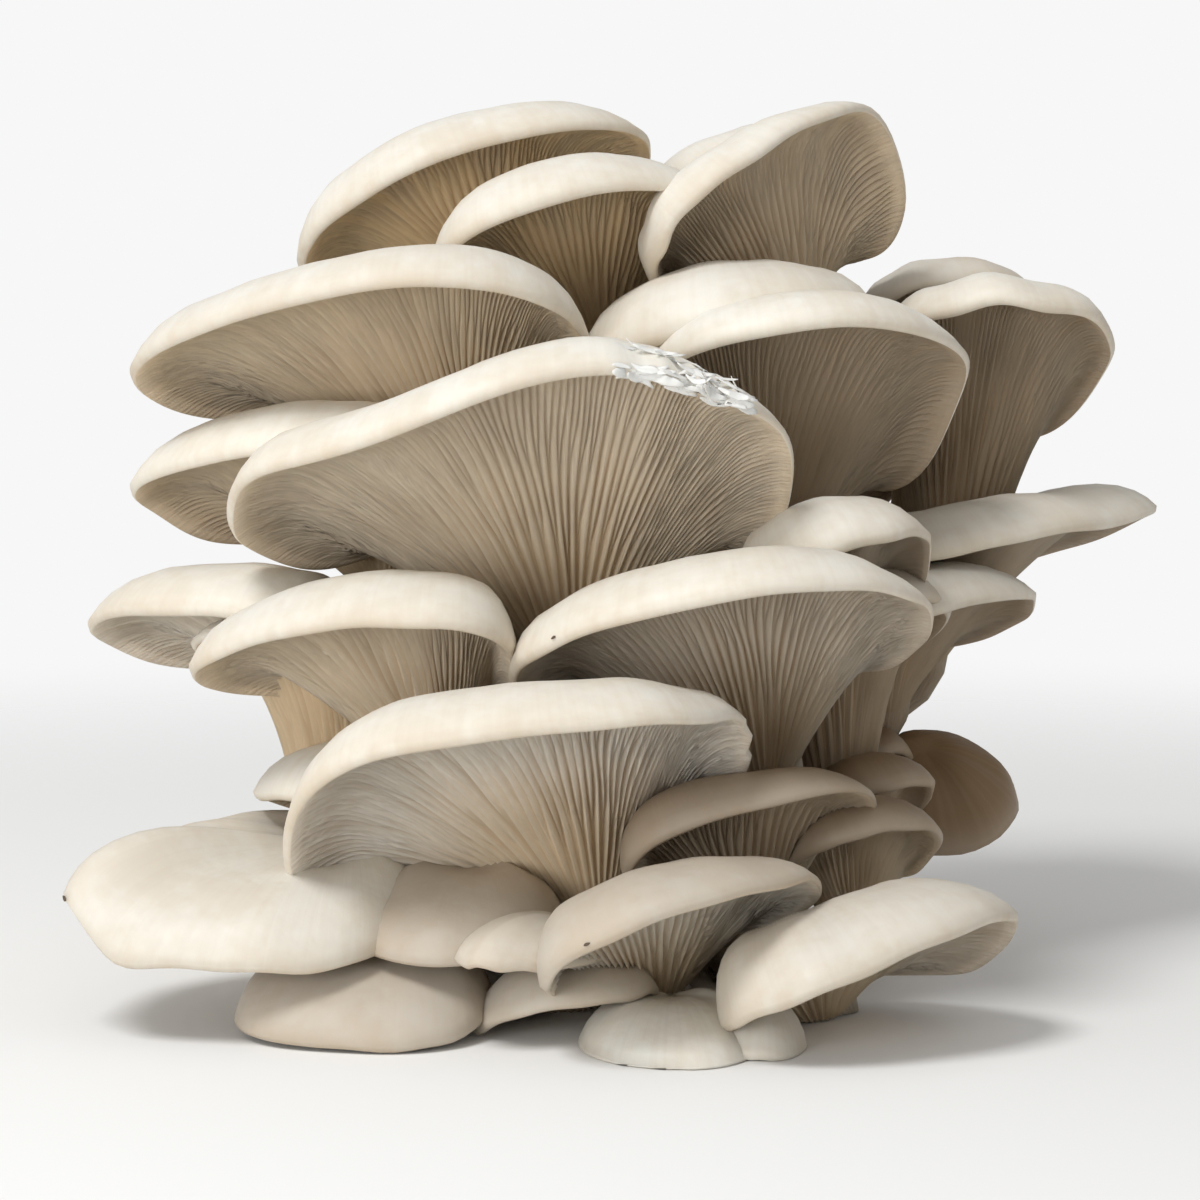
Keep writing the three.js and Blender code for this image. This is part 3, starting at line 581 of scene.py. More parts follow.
def surface_normals(rows):
    """Outward normals of a grid of rings."""
    around = np.roll(rows, -1, 1) - np.roll(rows, 1, 1)
    ahead = np.gradient(rows, axis=0)
    normal = np.cross(around, ahead)
    return normal / np.maximum(np.linalg.norm(normal, axis=2, keepdims=True), 1e-9)


def hollow_depths(base, normals, grown, x, depth):
    """How deep the hollows between gills are, where base is the surface without its gills."""
    under = depth * (NECK_DEPTH + (1 - NECK_DEPTH) * step(0, NECK_END, x))
    under = under * (1 - step(*LIP_FADE, x)) * (1 - LIP_SHALLOWER * x)
    stem = depth * NECK_DEPTH * step(0.25, 1.0, np.array(STEM_STEPS))[:, None] ** 1.5
    deep = np.vstack([stem, under])
    pitch = np.linalg.norm(np.roll(base, -SECTOR // 2, 1) - np.roll(base, SECTOR // 2, 1), axis=2)
    pitch = pitch / (len(TIERS) * grown.mean(1, keepdims=True))
    deep = np.minimum(deep, DEEPEST * pitch)
    # where the underside folds sharply, gills this deep would run through each other
    straight = np.ones(deep.shape)
    straight[1:-1] = (normals[2:] * normals[:-2]).sum(2)
    straight = np.minimum.reduce([np.roll(straight, shift, 1) for shift in (-SECTOR, 0, SECTOR)])
    straight[1:-1] = np.minimum.reduce([straight[1:-1], straight[:-2], straight[2:]])
    return deep * step(SHARP_FOLD, SOFT_FOLD, straight)


def gilled_rows(shape, gills, settings):
    """Rings from the stem's foot along the gilled underside to the lip, and their paint."""
    small = np.clip(shape.reach / FULL_REACH, SMALLEST, 1.0)
    x = np.linspace(0, 1, int(round(FEWEST_ROWS + MORE_ROWS * small)))[:, None]
    x = x - ROW_CROWDING * np.sin(2 * math.pi * x) / (2 * math.pi)
    stem_rows = len(STEM_STEPS)
    all_x = np.vstack([np.zeros((stem_rows, 1)), x])
    phi, crest, grown, index = gill_angles(shape, gills, all_x)
    under_phi = phi[stem_rows:]
    section = shape.section(under_phi, settings.lip_wave / MM)
    under = shape.underside(np.broadcast_to(x, under_phi.shape), section)
    stem = []
    for row, ring in enumerate(shape.stem_rings(np.append(STEM_STEPS, 1.0))[:-1]):
        centre, front, side, radius = ring
        bearing = shape.bearing(phi[row])[:, None]
        c, s = np.cos(bearing), np.sin(bearing)
        stem.append(centre + radius * (c * front + s * side))
    base = np.vstack([np.array(stem), under])
    normals = surface_normals(base)
    depth = settings.gill_depth / MM * small
    deep = hollow_depths(base, normals, grown, x, depth)
    relief = settings.gill_relief / MM * small
    high = relief * np.minimum(1, deep / (0.3 * depth + 1e-6))
    uneven = shape.rng.uniform(-1, 1, gills)[index]
    up = crest * grown
    crest_height = high * (1 + CREST_UNEVEN * uneven * np.sin(9 * all_x + 5 * uneven))
    lift = up * (crest_height + deep) - deep
    torn = np.vstack([np.zeros_like(phi[:stem_rows]), section["torn"] * step(LIP_FADE[0], 1.0, x)])
    hollow = np.clip(deep / depth, 0, 1) * (1 - up)
    paint = dict(hollow=hollow, torn=torn, all_x=all_x, phi=phi, stem_rows=stem_rows)
    return base + normals * lift[..., None], paint


def cap_coat(shape, lip_phi, settings):
    """Rings of the smooth skin from the lip to the crown, the crown, the normals and the tears."""
    edge = shape.section(lip_phi, settings.lip_wave / MM)
    margin = shape.margin(np.array(MARGIN_STEPS), edge)
    tops, crown = shape.top(np.array(TOP_STEPS), edge)
    coat = np.array(margin + tops)
    for _ in range(COAT_SMOOTHING):
        coat[2:-1] = 0.5 * coat[2:-1] + 0.25 * (coat[1:-2] + coat[3:])
    normals = surface_normals(coat)
    pressed = dents(coat, CAP_DENTS, CAP_DENT_LEVEL, shape.rng)
    fade = step(0, CAP_DENTS_FROM, np.arange(len(coat)))[:, None]
    coat = coat + normals * (pressed * fade)[..., None]
    shredded = edge["torn"] * np.exp(-np.arange(len(coat)) / RAGGED_ROWS)[:, None]
    ragged = RAGGED_HEIGHT * ripple(coat, RAGGED_WAVELENGTH, shape.rng) * shredded
    return coat + normals * ragged[..., None], crown, normals, shredded


def mushroom_mesh(shape, settings):
    """Vertices, faces, material numbers and painted values of one mushroom."""
    probe = shape.section(np.linspace(0, 2 * math.pi, 240, endpoint=False), 0)
    around = np.linalg.norm(np.diff(probe["flat"], axis=0, append=probe["flat"][:1]), axis=1).sum()
    sectors = max(10, round(around / (settings.gill_spacing / MM * len(TIERS))))
    rows, paint = gilled_rows(shape, sectors * len(TIERS), settings)
    lip_phi = paint["phi"][-1][::COAT_STRIDE]
    coat, crown, normals, shredded = cap_coat(shape, lip_phi, settings)
    extras = shreds_and_bruises(shape, coat, normals, lip_phi)
    paint.update(shred=shredded, lip_phi=lip_phi, around=around)
    return assemble(shape, rows, coat, crown, extras, paint)


def shred(base, lean, across, long, wide, rng):
    """A thin curled scrap of flesh, pointed at both ends, as a closed grid of rings."""
    t = np.linspace(*SHRED_ENDS, SHRED_STEPS)[:, None, None]
    angle = np.linspace(0, 2 * math.pi, SHRED_STEPS, endpoint=False)[None, :, None]
    thin = unit(np.cross(lean, across))
    bend, twist = rng.uniform(*SHRED_BEND), rng.uniform(*SHRED_TWIST)
    curl = (thin * bend + across * twist) * long * (2 * t - 1) ** 2 * 0.5
    centre = base + lean * long * (t - 0.5) + curl
    jag = 1 + SHRED_JAG * rng.uniform(-1, 1, (SHRED_STEPS, SHRED_STEPS, 1))
    half_width = wide * np.sin(math.pi * t) ** 0.6 * jag
    sideways = across * half_width * np.cos(angle)
    return centre + sideways + thin * SHRED_FLATNESS * half_width * np.sin(angle)


def shreds_and_bruises(shape, coat, normals, lip_phi):
    """Closed scraps of white flesh along the tears, and raised bruises, with their paint."""
    rng = np.random.default_rng(500 + shape.index)
    places = []
    for at, spread, _, shreds, white in shape.tears:
        for _ in range(round(SHREDS_PER_DEGREE * spread * white * shreds)):
            away = spread * rng.uniform(-SHRED_PLACES, SHRED_PLACES)
            places.append((at + away, rng.integers(0, SHRED_ROWS),
                           rng.uniform(*SHRED_LENGTH), rng.uniform(*SHRED_HALF_WIDTH), 1.0, 0.0))
    for at, radius in BRUISES.get(shape.name, []):
        places.append((at, 1, radius, radius, 0.0, 1.0))
    extras = []
    for at, row, long, wide, torn, bruise in places:
        gap = (np.degrees(lip_phi) - at + 180) % 360 - 180
        near = int(np.argmin(np.abs(gap)))
        normal = normals[row, near]
        lengthways = unit(coat[row, (near + 1) % len(lip_phi)] - coat[row, near - 1])
        if torn:
            thin = unit(normal + rng.normal(0, SHRED_TILT, 3))
            lean = lengthways + SHRED_TURN * rng.normal(0, 1, 3)
            across = unit(np.cross(thin, lean))
            lean = np.cross(across, thin)
        else:
            across, lean = lengthways, np.cross(normal, lengthways)
        rings = shred(coat[row, near], lean, across, long, wide, rng)
        extras.append((rings, torn, bruise))
    return extras


def painted_values(shape, paint, coat_shape):
    """Painted values and grain of the gilled grid, the coat, the foot and the crown."""
    radius = paint["around"] / (2 * math.pi)
    phi = paint["phi"]
    stem_along = np.linspace(-1, 0, paint["stem_rows"], endpoint=False)[:, None]
    along = np.vstack([stem_along, paint["all_x"][paint["stem_rows"]:]])
    coat_along = np.linspace(*COAT_ACROSS, coat_shape[0])[:, None]
    coat_points = math.prod(coat_shape)
    count = phi.size + coat_points + 2
    across = [np.broadcast_to(along, phi.shape).ravel(),
              np.broadcast_to(coat_along, coat_shape).ravel(), ENDS_ACROSS]
    values = dict(
        across=np.concatenate(across),
        hollow=np.concatenate([paint["hollow"].ravel(), np.zeros(coat_points + 2)]),
        torn=np.concatenate([paint["torn"].ravel(), paint["shred"].ravel(), [0, 0]]),
        tone=np.full(count, float(shape.tone)),
        warmth=np.full(count, float(shape.warmth)),
        age=np.full(count, float(shape.age)),
        bruise=np.zeros(count))
    grains = np.vstack([
        cylinder_grain(phi, along * radius, radius),
        cylinder_grain(paint["lip_phi"], coat_along * radius, radius), np.zeros((2, 3))])
    grains[:, 2] += GRAIN_SHIFT * shape.index
    return values, grains


def assemble(shape, rows, coat, crown, extras, paint):
    """Joins the gilled grid and the smooth coat into one closed mesh, and adds the scraps."""
    n, cols, _ = rows.shape
    k, spokes, _ = coat.shape
    foot = rows[0].mean(0)
    points = np.vstack([rows.reshape(-1, 3), coat.reshape(-1, 3), foot[None], crown[None]])
    points[:, 2] = np.maximum(points[:, 2], FLOOR)
    grid = np.arange(n * cols).reshape(n, cols)
    skin = n * cols + np.arange(k * spokes).reshape(k, spokes)
    gilled, coated = quads(grid), quads(skin)
    lip = np.append(grid[-1], grid[-1][0])
    seams = []
    for i in range(spokes):
        at = i * COAT_STRIDE
        seams.append([*lip[at:at + COAT_STRIDE + 1], skin[0][(i + 1) % spokes], skin[0][i]])
    foot_fan = fan(len(points) - 2, grid[0], below=True)
    crown_fan = fan(len(points) - 1, skin[-1])
    faces = gilled.tolist() + coated.tolist() + seams + foot_fan.tolist() + crown_fan.tolist()
    on_stem = paint["stem_rows"] * cols
    kinds = np.repeat([STEM, GILLS, SKIN, STEM, SKIN], [
        on_stem, len(gilled) - on_stem, len(coated) + len(seams), cols, spokes])
    values, grains = painted_values(shape, paint, (k, spokes))
    for rings, torn, bruise in extras:
        scrap = rings.reshape(-1, 3)
        grid = len(points) + np.arange(len(scrap)).reshape(rings.shape[:2])
        faces += quads(grid).tolist() + [grid[0][::-1].tolist(), grid[-1].tolist()]
        points = np.vstack([points, scrap])
        grains = np.vstack([grains, scrap])
        kinds = np.append(kinds, np.full(len(faces) - len(kinds), SKIN))
        own = dict(across=SCRAP_ACROSS, hollow=0.0, torn=torn, bruise=bruise, tone=shape.tone,
                   warmth=shape.warmth, age=shape.age)
        values = {key: np.append(old, np.full(len(scrap), own[key])) for key, old in values.items()}
    return points, faces, kinds.astype(np.int32), values, grains


def add_piece(name, points, faces, kinds, values, grains, materials):
    """A smooth mesh object in metres, with its painted values and materials."""
    mesh = bpy.data.meshes.new(name)
    mesh.from_pydata((points * MM).tolist(), [], faces)
    mesh.polygons.foreach_set("use_smooth", np.ones(len(mesh.polygons), bool))
    mesh.polygons.foreach_set("material_index", kinds)
    for key, value in values.items():
        layer = mesh.attributes.new(key, "FLOAT", "POINT")
        layer.data.foreach_set("value", value.astype(np.float32))
    layer = mesh.attributes.new("grain", "FLOAT_VECTOR", "POINT")
    layer.data.foreach_set("vector", grains.astype(np.float32).ravel())
    for material in materials:
        mesh.materials.append(material)
    mesh.update()
    piece = bpy.data.objects.new(name, mesh)
    bpy.context.scene.collection.objects.link(piece)
    return piece


# Node helpers


class Nodes:
    """Short way to add and link nodes in one tree."""

    def __init__(self, tree):
        self.tree = tree

    def add(self, kind, inputs=None, **settings):
        """A new node with these settings, and a value or a link for each named input."""
        node = self.tree.nodes.new(kind)
        for key, value in settings.items():
            setattr(node, key, value)
        for key, value in (inputs or {}).items():
            self.put(node.inputs[key], value)
        return node

    def put(self, socket, value):
        """Links an output to the socket, or gives the socket a plain value."""
        if isinstance(value, bpy.types.NodeSocket):
            self.tree.links.new(value, socket)
        else:
            socket.default_value = value

    def math(self, operation, *values, clamp=False):
        """Output of one calculation on plain values or outputs."""
        node = self.add("ShaderNodeMath", operation=operation, use_clamp=clamp)
        for socket, value in zip(node.inputs, values):
            self.put(socket, value)
        return node.outputs[0]

    def mix(self, factor, a, b):
        """Colour that goes from a to b as the factor goes from 0 to 1."""
        node = self.add("ShaderNodeMix", data_type="RGBA")
        self.put(node.inputs[0], factor)
        self.put(node.inputs[6], a)
        self.put(node.inputs[7], b)
        return node.outputs[2]

    def spread(self, value, low, high, to_low=0.0, to_high=1.0, smooth=True):
        """Takes the range from low to high to another one, and stops at its ends."""
        node = self.add("ShaderNodeMapRange", interpolation_type="SMOOTHSTEP" if smooth else "LINEAR")
        for key, v in zip(("Value", "From Min", "From Max", "To Min", "To Max"),
                          (value, low, high, to_low, to_high)):
            self.put(node.inputs[key], v)
        return node.outputs[0]

    def painted(self, name, output="Fac"):
        """A value that is painted on the mesh."""
        return self.add("ShaderNodeAttribute", attribute_name=name).outputs[output]


def new_group(name, inputs, outputs):
    """An empty node group with named sockets: its nodes, and the sockets inside it."""
    group = bpy.data.node_groups.new(name, "ShaderNodeTree")
    for title, kind, default in inputs:
        socket = group.interface.new_socket(title, in_out="INPUT", socket_type=kind)
        socket.default_value = default
    for title, kind in outputs:
        group.interface.new_socket(title, in_out="OUTPUT", socket_type=kind)
    nodes = Nodes(group)
    return nodes, nodes.add("NodeGroupInput").outputs, nodes.add("NodeGroupOutput").inputs


def group_once(name, build):
    """The group with this name, which is built the first time."""
    if name not in bpy.data.node_groups:
        build(name)
    return bpy.data.node_groups[name]


def build_mottle(name):
    """Soft blotches: large and small cloudy patches of a surface."""
    nodes, given, result = new_group(
        name,
        [("Size", "NodeSocketFloat", 12.0), ("Fine Share", "NodeSocketFloat", 0.35)],
        [("Blotch", "NodeSocketFloat"), ("Cloud", "NodeSocketFloat")])
    place = nodes.add("ShaderNodeTexCoord").outputs["Object"]
    scale = nodes.math("DIVIDE", 1 / MM, given["Size"])
    large = nodes.add("ShaderNodeTexNoise", {"Vector": place, "Scale": scale, "Detail": 3.0})
    fine = nodes.add("ShaderNodeTexNoise", {
        "Vector": place, "Scale": nodes.math("MULTIPLY", scale, 5.0), "Detail": 4.0})
    share = nodes.math("MULTIPLY", fine.outputs[0], given["Fine Share"])
    keep = nodes.math("SUBTRACT", 1.0, given["Fine Share"])
    blended = nodes.math("ADD", nodes.math("MULTIPLY", large.outputs[0], keep), share)
    nodes.put(result["Blotch"], nodes.spread(blended, 0.35, 0.65))
    nodes.put(result["Cloud"], nodes.spread(large.outputs[0], 0.4, 0.7))


def build_fibres(name):
    """Fine fibres that run out from the stem, from the grain painted on the mesh."""
    nodes, given, result = new_group(
        name,
        [("Width", "NodeSocketFloat", 0.8), ("Stretch", "NodeSocketFloat", 9.0)],
        [("Fibre", "NodeSocketFloat"), ("Height", "NodeSocketFloat")])
    grain = nodes.painted("grain", "Vector")
    split = nodes.add("ShaderNodeSeparateXYZ", {"Vector": grain})
    short = nodes.math("DIVIDE", split.outputs[2], given["Stretch"])
    vector = nodes.add("ShaderNodeCombineXYZ", {
        "X": split.outputs[0], "Y": split.outputs[1], "Z": short}).outputs[0]
    scale = nodes.math("DIVIDE", 1.0, given["Width"])
    noise = nodes.add("ShaderNodeTexNoise", {"Vector": vector, "Scale": scale, "Detail": 3.0})
    nodes.put(result["Fibre"], nodes.spread(noise.outputs[0], 0.38, 0.66))
    nodes.put(result["Height"], noise.outputs[0])


def build_specks(name):
    """Sparse dark specks, the dust and tiny bruises of a picked mushroom."""
    nodes, given, result = new_group(
        name,
        [("Spacing", "NodeSocketFloat", 14.0), ("Radius", "NodeSocketFloat", 0.035)],
        [("Speck", "NodeSocketFloat")])
    place = nodes.add("ShaderNodeTexCoord").outputs["Object"]
    scale = nodes.math("DIVIDE", 1 / MM, given["Spacing"])
    cells = nodes.add("ShaderNodeTexVoronoi", {"Vector": place, "Scale": scale})
    near = nodes.spread(cells.outputs["Distance"], nodes.math("MULTIPLY", given["Radius"], 0.5),
                        given["Radius"], 1.0, 0.0)
    chosen = nodes.add("ShaderNodeSeparateColor", {"Color": cells.outputs["Color"]})
    some = nodes.math("GREATER_THAN", chosen.outputs[0], 0.55)
    nodes.put(result["Speck"], nodes.math("MULTIPLY", near, some))


def use_group(nodes, name, build, **values):
    """Places a group with its own values, and gives its outputs."""
    node = nodes.add("ShaderNodeGroup", node_tree=group_once(name, build))
    for key, value in values.items():
        nodes.put(node.inputs[key.replace("_", " ")], value)
    return node.outputs


def new_material(name, roughness, softness):
    """A material of moist flesh that light enters a little way."""
    material = bpy.data.materials.new(name)
    material.use_nodes = True
    nodes = Nodes(material.node_tree)
    shader = material.node_tree.nodes["Principled BSDF"]
    shader.inputs["Roughness"].default_value = roughness
    shader.inputs["Specular IOR Level"].default_value = 0.35
    shader.inputs["Subsurface Weight"].default_value = softness
    shader.inputs["Subsurface Radius"].default_value = (1.0, 0.62, 0.38)
    shader.inputs["Subsurface Scale"].default_value = 2.5 * MM
    return material, nodes, shader


def bump(nodes, shader, height, strength, distance):
    """Fine relief of a material, where distance is in millimetres."""
    node = nodes.add("ShaderNodeBump", {
        "Height": height, "Strength": strength, "Distance": distance * MM})
    nodes.put(shader.inputs["Normal"], node.outputs[0])


def cap_skin_material(colours):
    """Cream skin: tan by the lip, brown on old caps, painted shade on low caps, radial fibres, specks.
    """
    material, nodes, shader = new_material("Cap skin", 0.56, 0.12)
    mottle = use_group(nodes, "Mottle", build_mottle, Size=17.0, Fine_Share=0.3)
    fibres = use_group(nodes, "Fibres", build_fibres, Width=1.3, Stretch=14.0)
    specks = use_group(nodes, "Specks", build_specks, Spacing=17.0, Radius=0.022)
    tone, across = nodes.painted("tone"), nodes.painted("across")
    # tan towards the lip: partly the lip's own thin tan edge, partly painted shade on the lower part of
    # the band, which curls under
    lip = nodes.spread(across, 1.02, 1.28, 1.0, 0.0)
    warm = nodes.math("MULTIPLY", mottle["Blotch"], 0.28)
    warm = nodes.math("ADD", warm, nodes.math("MULTIPLY", lip, 0.3))
    colour = nodes.mix(warm, (*colours.skin_pale, 1), (*colours.skin_tan, 1))
    # brown: partly the brown of older caps, partly painted shade on caps that lie low under others,
    # strongest towards the crown, where the caps above cast their shadow
    old = nodes.math("MULTIPLY", tone, nodes.spread(across, 1.0, 1.35, 0.7, 1.0))
    colour = nodes.mix(old, colour, (*colours.skin_brown_and_shade, 1))
    streak = nodes.math("MULTIPLY", fibres["Fibre"], 0.07)
    colour = nodes.mix(streak, colour, (*colours.streak_and_shade, 1))
    torn = nodes.spread(nodes.painted("torn"), 0.25, 0.6)
    colour = nodes.mix(torn, colour, (*colours.torn_flesh, 1))
    spot = nodes.math("MAXIMUM", nodes.math("MULTIPLY", specks["Speck"], 0.6), nodes.painted("bruise"))
    colour = nodes.mix(spot, colour, (*colours.speck, 1))
    nodes.put(shader.inputs["Base Color"], colour)
    dull = nodes.spread(mottle["Cloud"], 0.0, 1.0, 0.5, 0.64)
    nodes.put(shader.inputs["Roughness"], nodes.math("ADD", dull, nodes.math("MULTIPLY", torn, 0.3)))
    height = nodes.math("ADD", nodes.math("MULTIPLY", fibres["Height"], 0.5), mottle["Blotch"])
    bump(nodes, shader, height, 0.22, 0.35)
    return material


def gill_material(colours):
    """Gills: pale beige blades with painted brown shade between them, smoother and paler by the lip."""
    material, nodes, shader = new_material("Gills", 0.72, 0.1)
    mottle = use_group(nodes, "Mottle", build_mottle, Size=11.0, Fine_Share=0.5)
    fibres = use_group(nodes, "Fibres", build_fibres, Width=0.55, Stretch=16.0)
    across = nodes.painted("across")
    # warmer beige towards the stem; the per-mushroom value adds painted warm light, bounced between the
    # caps, most on the deep-set ones
    inward = nodes.spread(across, 0.1, 0.75, 1.0, 0.0)
    inward = nodes.math("MAXIMUM", nodes.math("MULTIPLY", inward, 0.7), nodes.painted("warmth"))
    pale = nodes.mix(inward, (*colours.gill_pale, 1), (*colours.gill_warm, 1))
    # painted shade: undersides that lie low or on the right, away from the light, darken towards brown
    pale = nodes.mix(nodes.painted("age"), pale, (*colours.gill_brown_and_shade, 1))
    pale = nodes.mix(nodes.math("MULTIPLY", mottle["Blotch"], 0.16), pale, (*colours.streak_and_shade, 1))
    # painted shade: the hollows between the gills turn brown, more in some bundles of gills than in
    # others
    hollow = nodes.spread(nodes.painted("hollow"), 0.05, 0.8)
    bundle = use_group(nodes, "Fibres", build_fibres, Width=5.0, Stretch=6.0)
    hollow = nodes.math("MULTIPLY", hollow, nodes.spread(bundle["Fibre"], 0.0, 1.0, 0.15, 0.6))
    colour = nodes.mix(hollow, pale, (*colours.hollow_shade_and_fibre, 1))
    cloud = nodes.math("MULTIPLY", nodes.math("MULTIPLY", bundle["Fibre"], 0.3),
                       nodes.spread(across, 0.35, 0.75))
    colour = nodes.mix(cloud, colour, (*colours.gill_cloud, 1))
    thin = nodes.math("MULTIPLY", fibres["Fibre"], nodes.spread(across, 0.3, 0.9, 0.05, 0.3))
    colour = nodes.mix(thin, colour, (*colours.streak_and_shade, 1))
    torn = nodes.spread(nodes.painted("torn"), 0.3, 0.7)
    colour = nodes.mix(torn, colour, (*colours.torn_flesh, 1))
    nodes.put(shader.inputs["Base Color"], colour)
    bump(nodes, shader, fibres["Height"], 0.5, 0.35)
    return material


def stem_material(colours):
    """Stem: off-white fibrous flesh, with painted shade in the furrows that run down from the gills."""
    material, nodes, shader = new_material("Stem", 0.68, 0.1)
    mottle = use_group(nodes, "Mottle", build_mottle, Size=9.0, Fine_Share=0.5)
    fibres = use_group(nodes, "Fibres", build_fibres, Width=0.7, Stretch=12.0)
    # painted shade in the furrows that run down from the gills
    hollow = nodes.spread(nodes.painted("hollow"), 0.02, 0.4)
    # painted shade: stems of mushrooms whose undersides face away from the light darken towards brown
    colour = nodes.mix(nodes.painted("age"), (*colours.stem, 1), (*colours.gill_brown_and_shade, 1))
    shade = nodes.math("ADD", nodes.math("MULTIPLY", mottle["Blotch"], 0.2),
                       nodes.math("MULTIPLY", hollow, 0.5), clamp=True)
    colour = nodes.mix(shade, colour, (*colours.streak_and_shade, 1))
    colour = nodes.mix(nodes.math("MULTIPLY", fibres["Fibre"], 0.12), colour, (*colours.hollow_shade_and_fibre, 1))
    nodes.put(shader.inputs["Base Color"], colour)
    bump(nodes, shader, fibres["Height"], 0.6, 0.5)
    return material


def butt_material(colours):
    """Butt: fibrous off-white flesh, with painted shade in its furrows, and browner on the cut base."""
    material, nodes, shader = new_material("Butt", 0.8, 0.1)
    mottle = use_group(nodes, "Mottle", build_mottle, Size=14.0, Fine_Share=0.45)
    fibres = use_group(nodes, "Fibres", build_fibres, Width=1.4, Stretch=10.0)
    specks = use_group(nodes, "Specks", build_specks, Spacing=9.0, Radius=0.05)
    patch = nodes.math("MULTIPLY", mottle["Blotch"], 0.3)
    colour = nodes.mix(patch, (*colours.stem, 1), (*colours.gill_brown_and_shade, 1))
    # painted shade in the furrows
    furrow = nodes.math("MULTIPLY", nodes.painted("hollow"), 0.55)
    colour = nodes.mix(furrow, colour, (*colours.streak_and_shade, 1))
    colour = nodes.mix(nodes.math("MULTIPLY", fibres["Fibre"], 0.35), colour, (*colours.streak_and_shade, 1))
    colour = nodes.mix(nodes.math("MULTIPLY", specks["Speck"], 0.5), colour, (*colours.speck, 1))
    nodes.put(shader.inputs["Base Color"], colour)
    height = nodes.math("ADD", fibres["Height"], nodes.math("MULTIPLY", mottle["Blotch"], 0.5))
    bump(nodes, shader, height, 0.8, 0.9)
    return material


def floor_material(colour):
    """Plain pale floor that fades out with distance."""
    material = bpy.data.materials.new("Pale floor")
    material.use_nodes = True
    nodes = Nodes(material.node_tree)
    shader = material.node_tree.nodes["Principled BSDF"]
    shader.inputs["Base Color"].default_value = (*colour, 1)
    shader.inputs["Roughness"].default_value = 0.9
    shader.inputs["Specular IOR Level"].default_value = 0.1
    place = nodes.add("ShaderNodeTexCoord").outputs["Object"]
    far = nodes.add("ShaderNodeVectorMath", {0: place}, operation="LENGTH").outputs["Value"]
    clear = nodes.add("ShaderNodeBsdfTransparent")
    fade = nodes.add("ShaderNodeMixShader", {
        0: nodes.spread(far, *FLOOR_FADE), 1: shader.outputs[0], 2: clear.outputs[0]})
    output = material.node_tree.nodes["Material Output"]
    nodes.put(output.inputs["Surface"], fade.outputs[0])
    return material


# The butt


def butt_mesh():
    """Fluted oval rings, smoothed between the listed ones, with a flat cut base."""
    rng = np.random.default_rng(7)
    listed = np.array(BUTT_RINGS, float)
    rim_height = BUTT_RINGS[-1][0]
    heights = np.concatenate([BUTT_CUT_HEIGHTS, np.linspace(4, rim_height, BUTT_ROWS)])
    rings = np.stack([np.interp(heights, listed[:, 0], listed[:, i]) for i in (1, 2, 3)], 1)
    for _ in range(BUTT_SMOOTHING):
        rings[3:-1] = 0.5 * rings[3:-1] + 0.25 * (rings[2:-2] + rings[4:])
    phi = np.linspace(0, 2 * math.pi, BUTT_SIDES, endpoint=False)
    rows, furrows = [], []
    for z, (y, half_width, half_depth) in zip(heights, rings):
        flute = np.cos(BUTT_FLUTES * phi + BUTT_TWIST * z)
        wander = 2 * np.sin(z / 23)
        fine = BUTT_FURROW_SHARES[0] * np.cos(BUTT_FURROWS[0] * phi - 0.031 * z + wander)
        fine = fine + BUTT_FURROW_SHARES[1] * np.cos(BUTT_FURROWS[1] * phi + 0.05 * z)
        # the edge of the cut is drawn in a little
        inset = min(1.0, 0.985 + 0.015 * z / 2)
        grooved = 1 + BUTT_FLUTE_DEPTH * BUTT_FLUTE_SHARE * flute - BUTT_FURROW_DEPTH * (1 - fine)
        size = inset * grooved
        x = BUTT_CENTRE_X + half_width * size * np.sin(phi)
        back = y - half_depth * size * np.cos(phi)
        rows.append(np.stack([x, back, np.full(BUTT_SIDES, z)], -1))
        # depth of the furrows, which the butt's material paints as shade
        furrows.append(np.clip(0.5 - 0.3 * flute - 0.5 * fine, 0, 1))
    rim = rows[-1]
    for t in np.linspace(*BUTT_TOP_SHARES):
        ring = BUTT_TOP + (rim - BUTT_TOP) * [t, t, 0]
        ring[:, 2] = rim_height + (BUTT_TOP[2] - rim_height) * math.sqrt(1 - t * t)
        rows.append(ring)
        furrows.append(furrows[-1])
    base = [BUTT_CENTRE_X, BUTT_RINGS[0][1], 0]
    inner = [base + (rows[0] - base) * t for t in BUTT_BASE_SHARES]
    rows = np.array(inner + rows)
    furrows = np.array([0.3 + 0.5 * (furrows[0] > 0.5)] * len(inner) + furrows)
    pressed = dents(rows, BUTT_DENTS, BUTT_DENT_LEVEL, rng)
    pressed[:len(inner) + 1] = 0  # the cut stays flat
    rows = rows + surface_normals(rows) * pressed[..., None]
    grid = np.arange(rows[..., 0].size).reshape(rows.shape[:2])
    points = np.vstack([rows.reshape(-1, 3), [base], [BUTT_TOP]])
    points[:, 2] = np.maximum(points[:, 2], FLOOR)
    low = fan(grid.size, grid[0], below=True)
    high = fan(grid.size + 1, grid[-1])
    faces = quads(grid).tolist() + low.tolist() + high.tolist()
    values = dict(hollow=np.append(furrows.ravel(), [0.4, 0.4]))
    grain = cylinder_grain(phi, rows[..., 2], BUTT_GRAIN_RADIUS)
    grains = np.vstack([grain, np.zeros((2, 3))])
    return points, faces, np.zeros(len(faces), np.int32), values, grains


# Settings


def length_setting(name, description, default):
    """A setting in metres."""
    return bpy.props.FloatProperty(
        name=name, description=description, default=default, min=0.0, unit="LENGTH", precision=5)


def colour_setting(name, description, default):
    """A setting for one colour."""
    return bpy.props.FloatVectorProperty(
        name=name, description=description, default=default, subtype="COLOR", size=3, min=0.0, max=1.0)


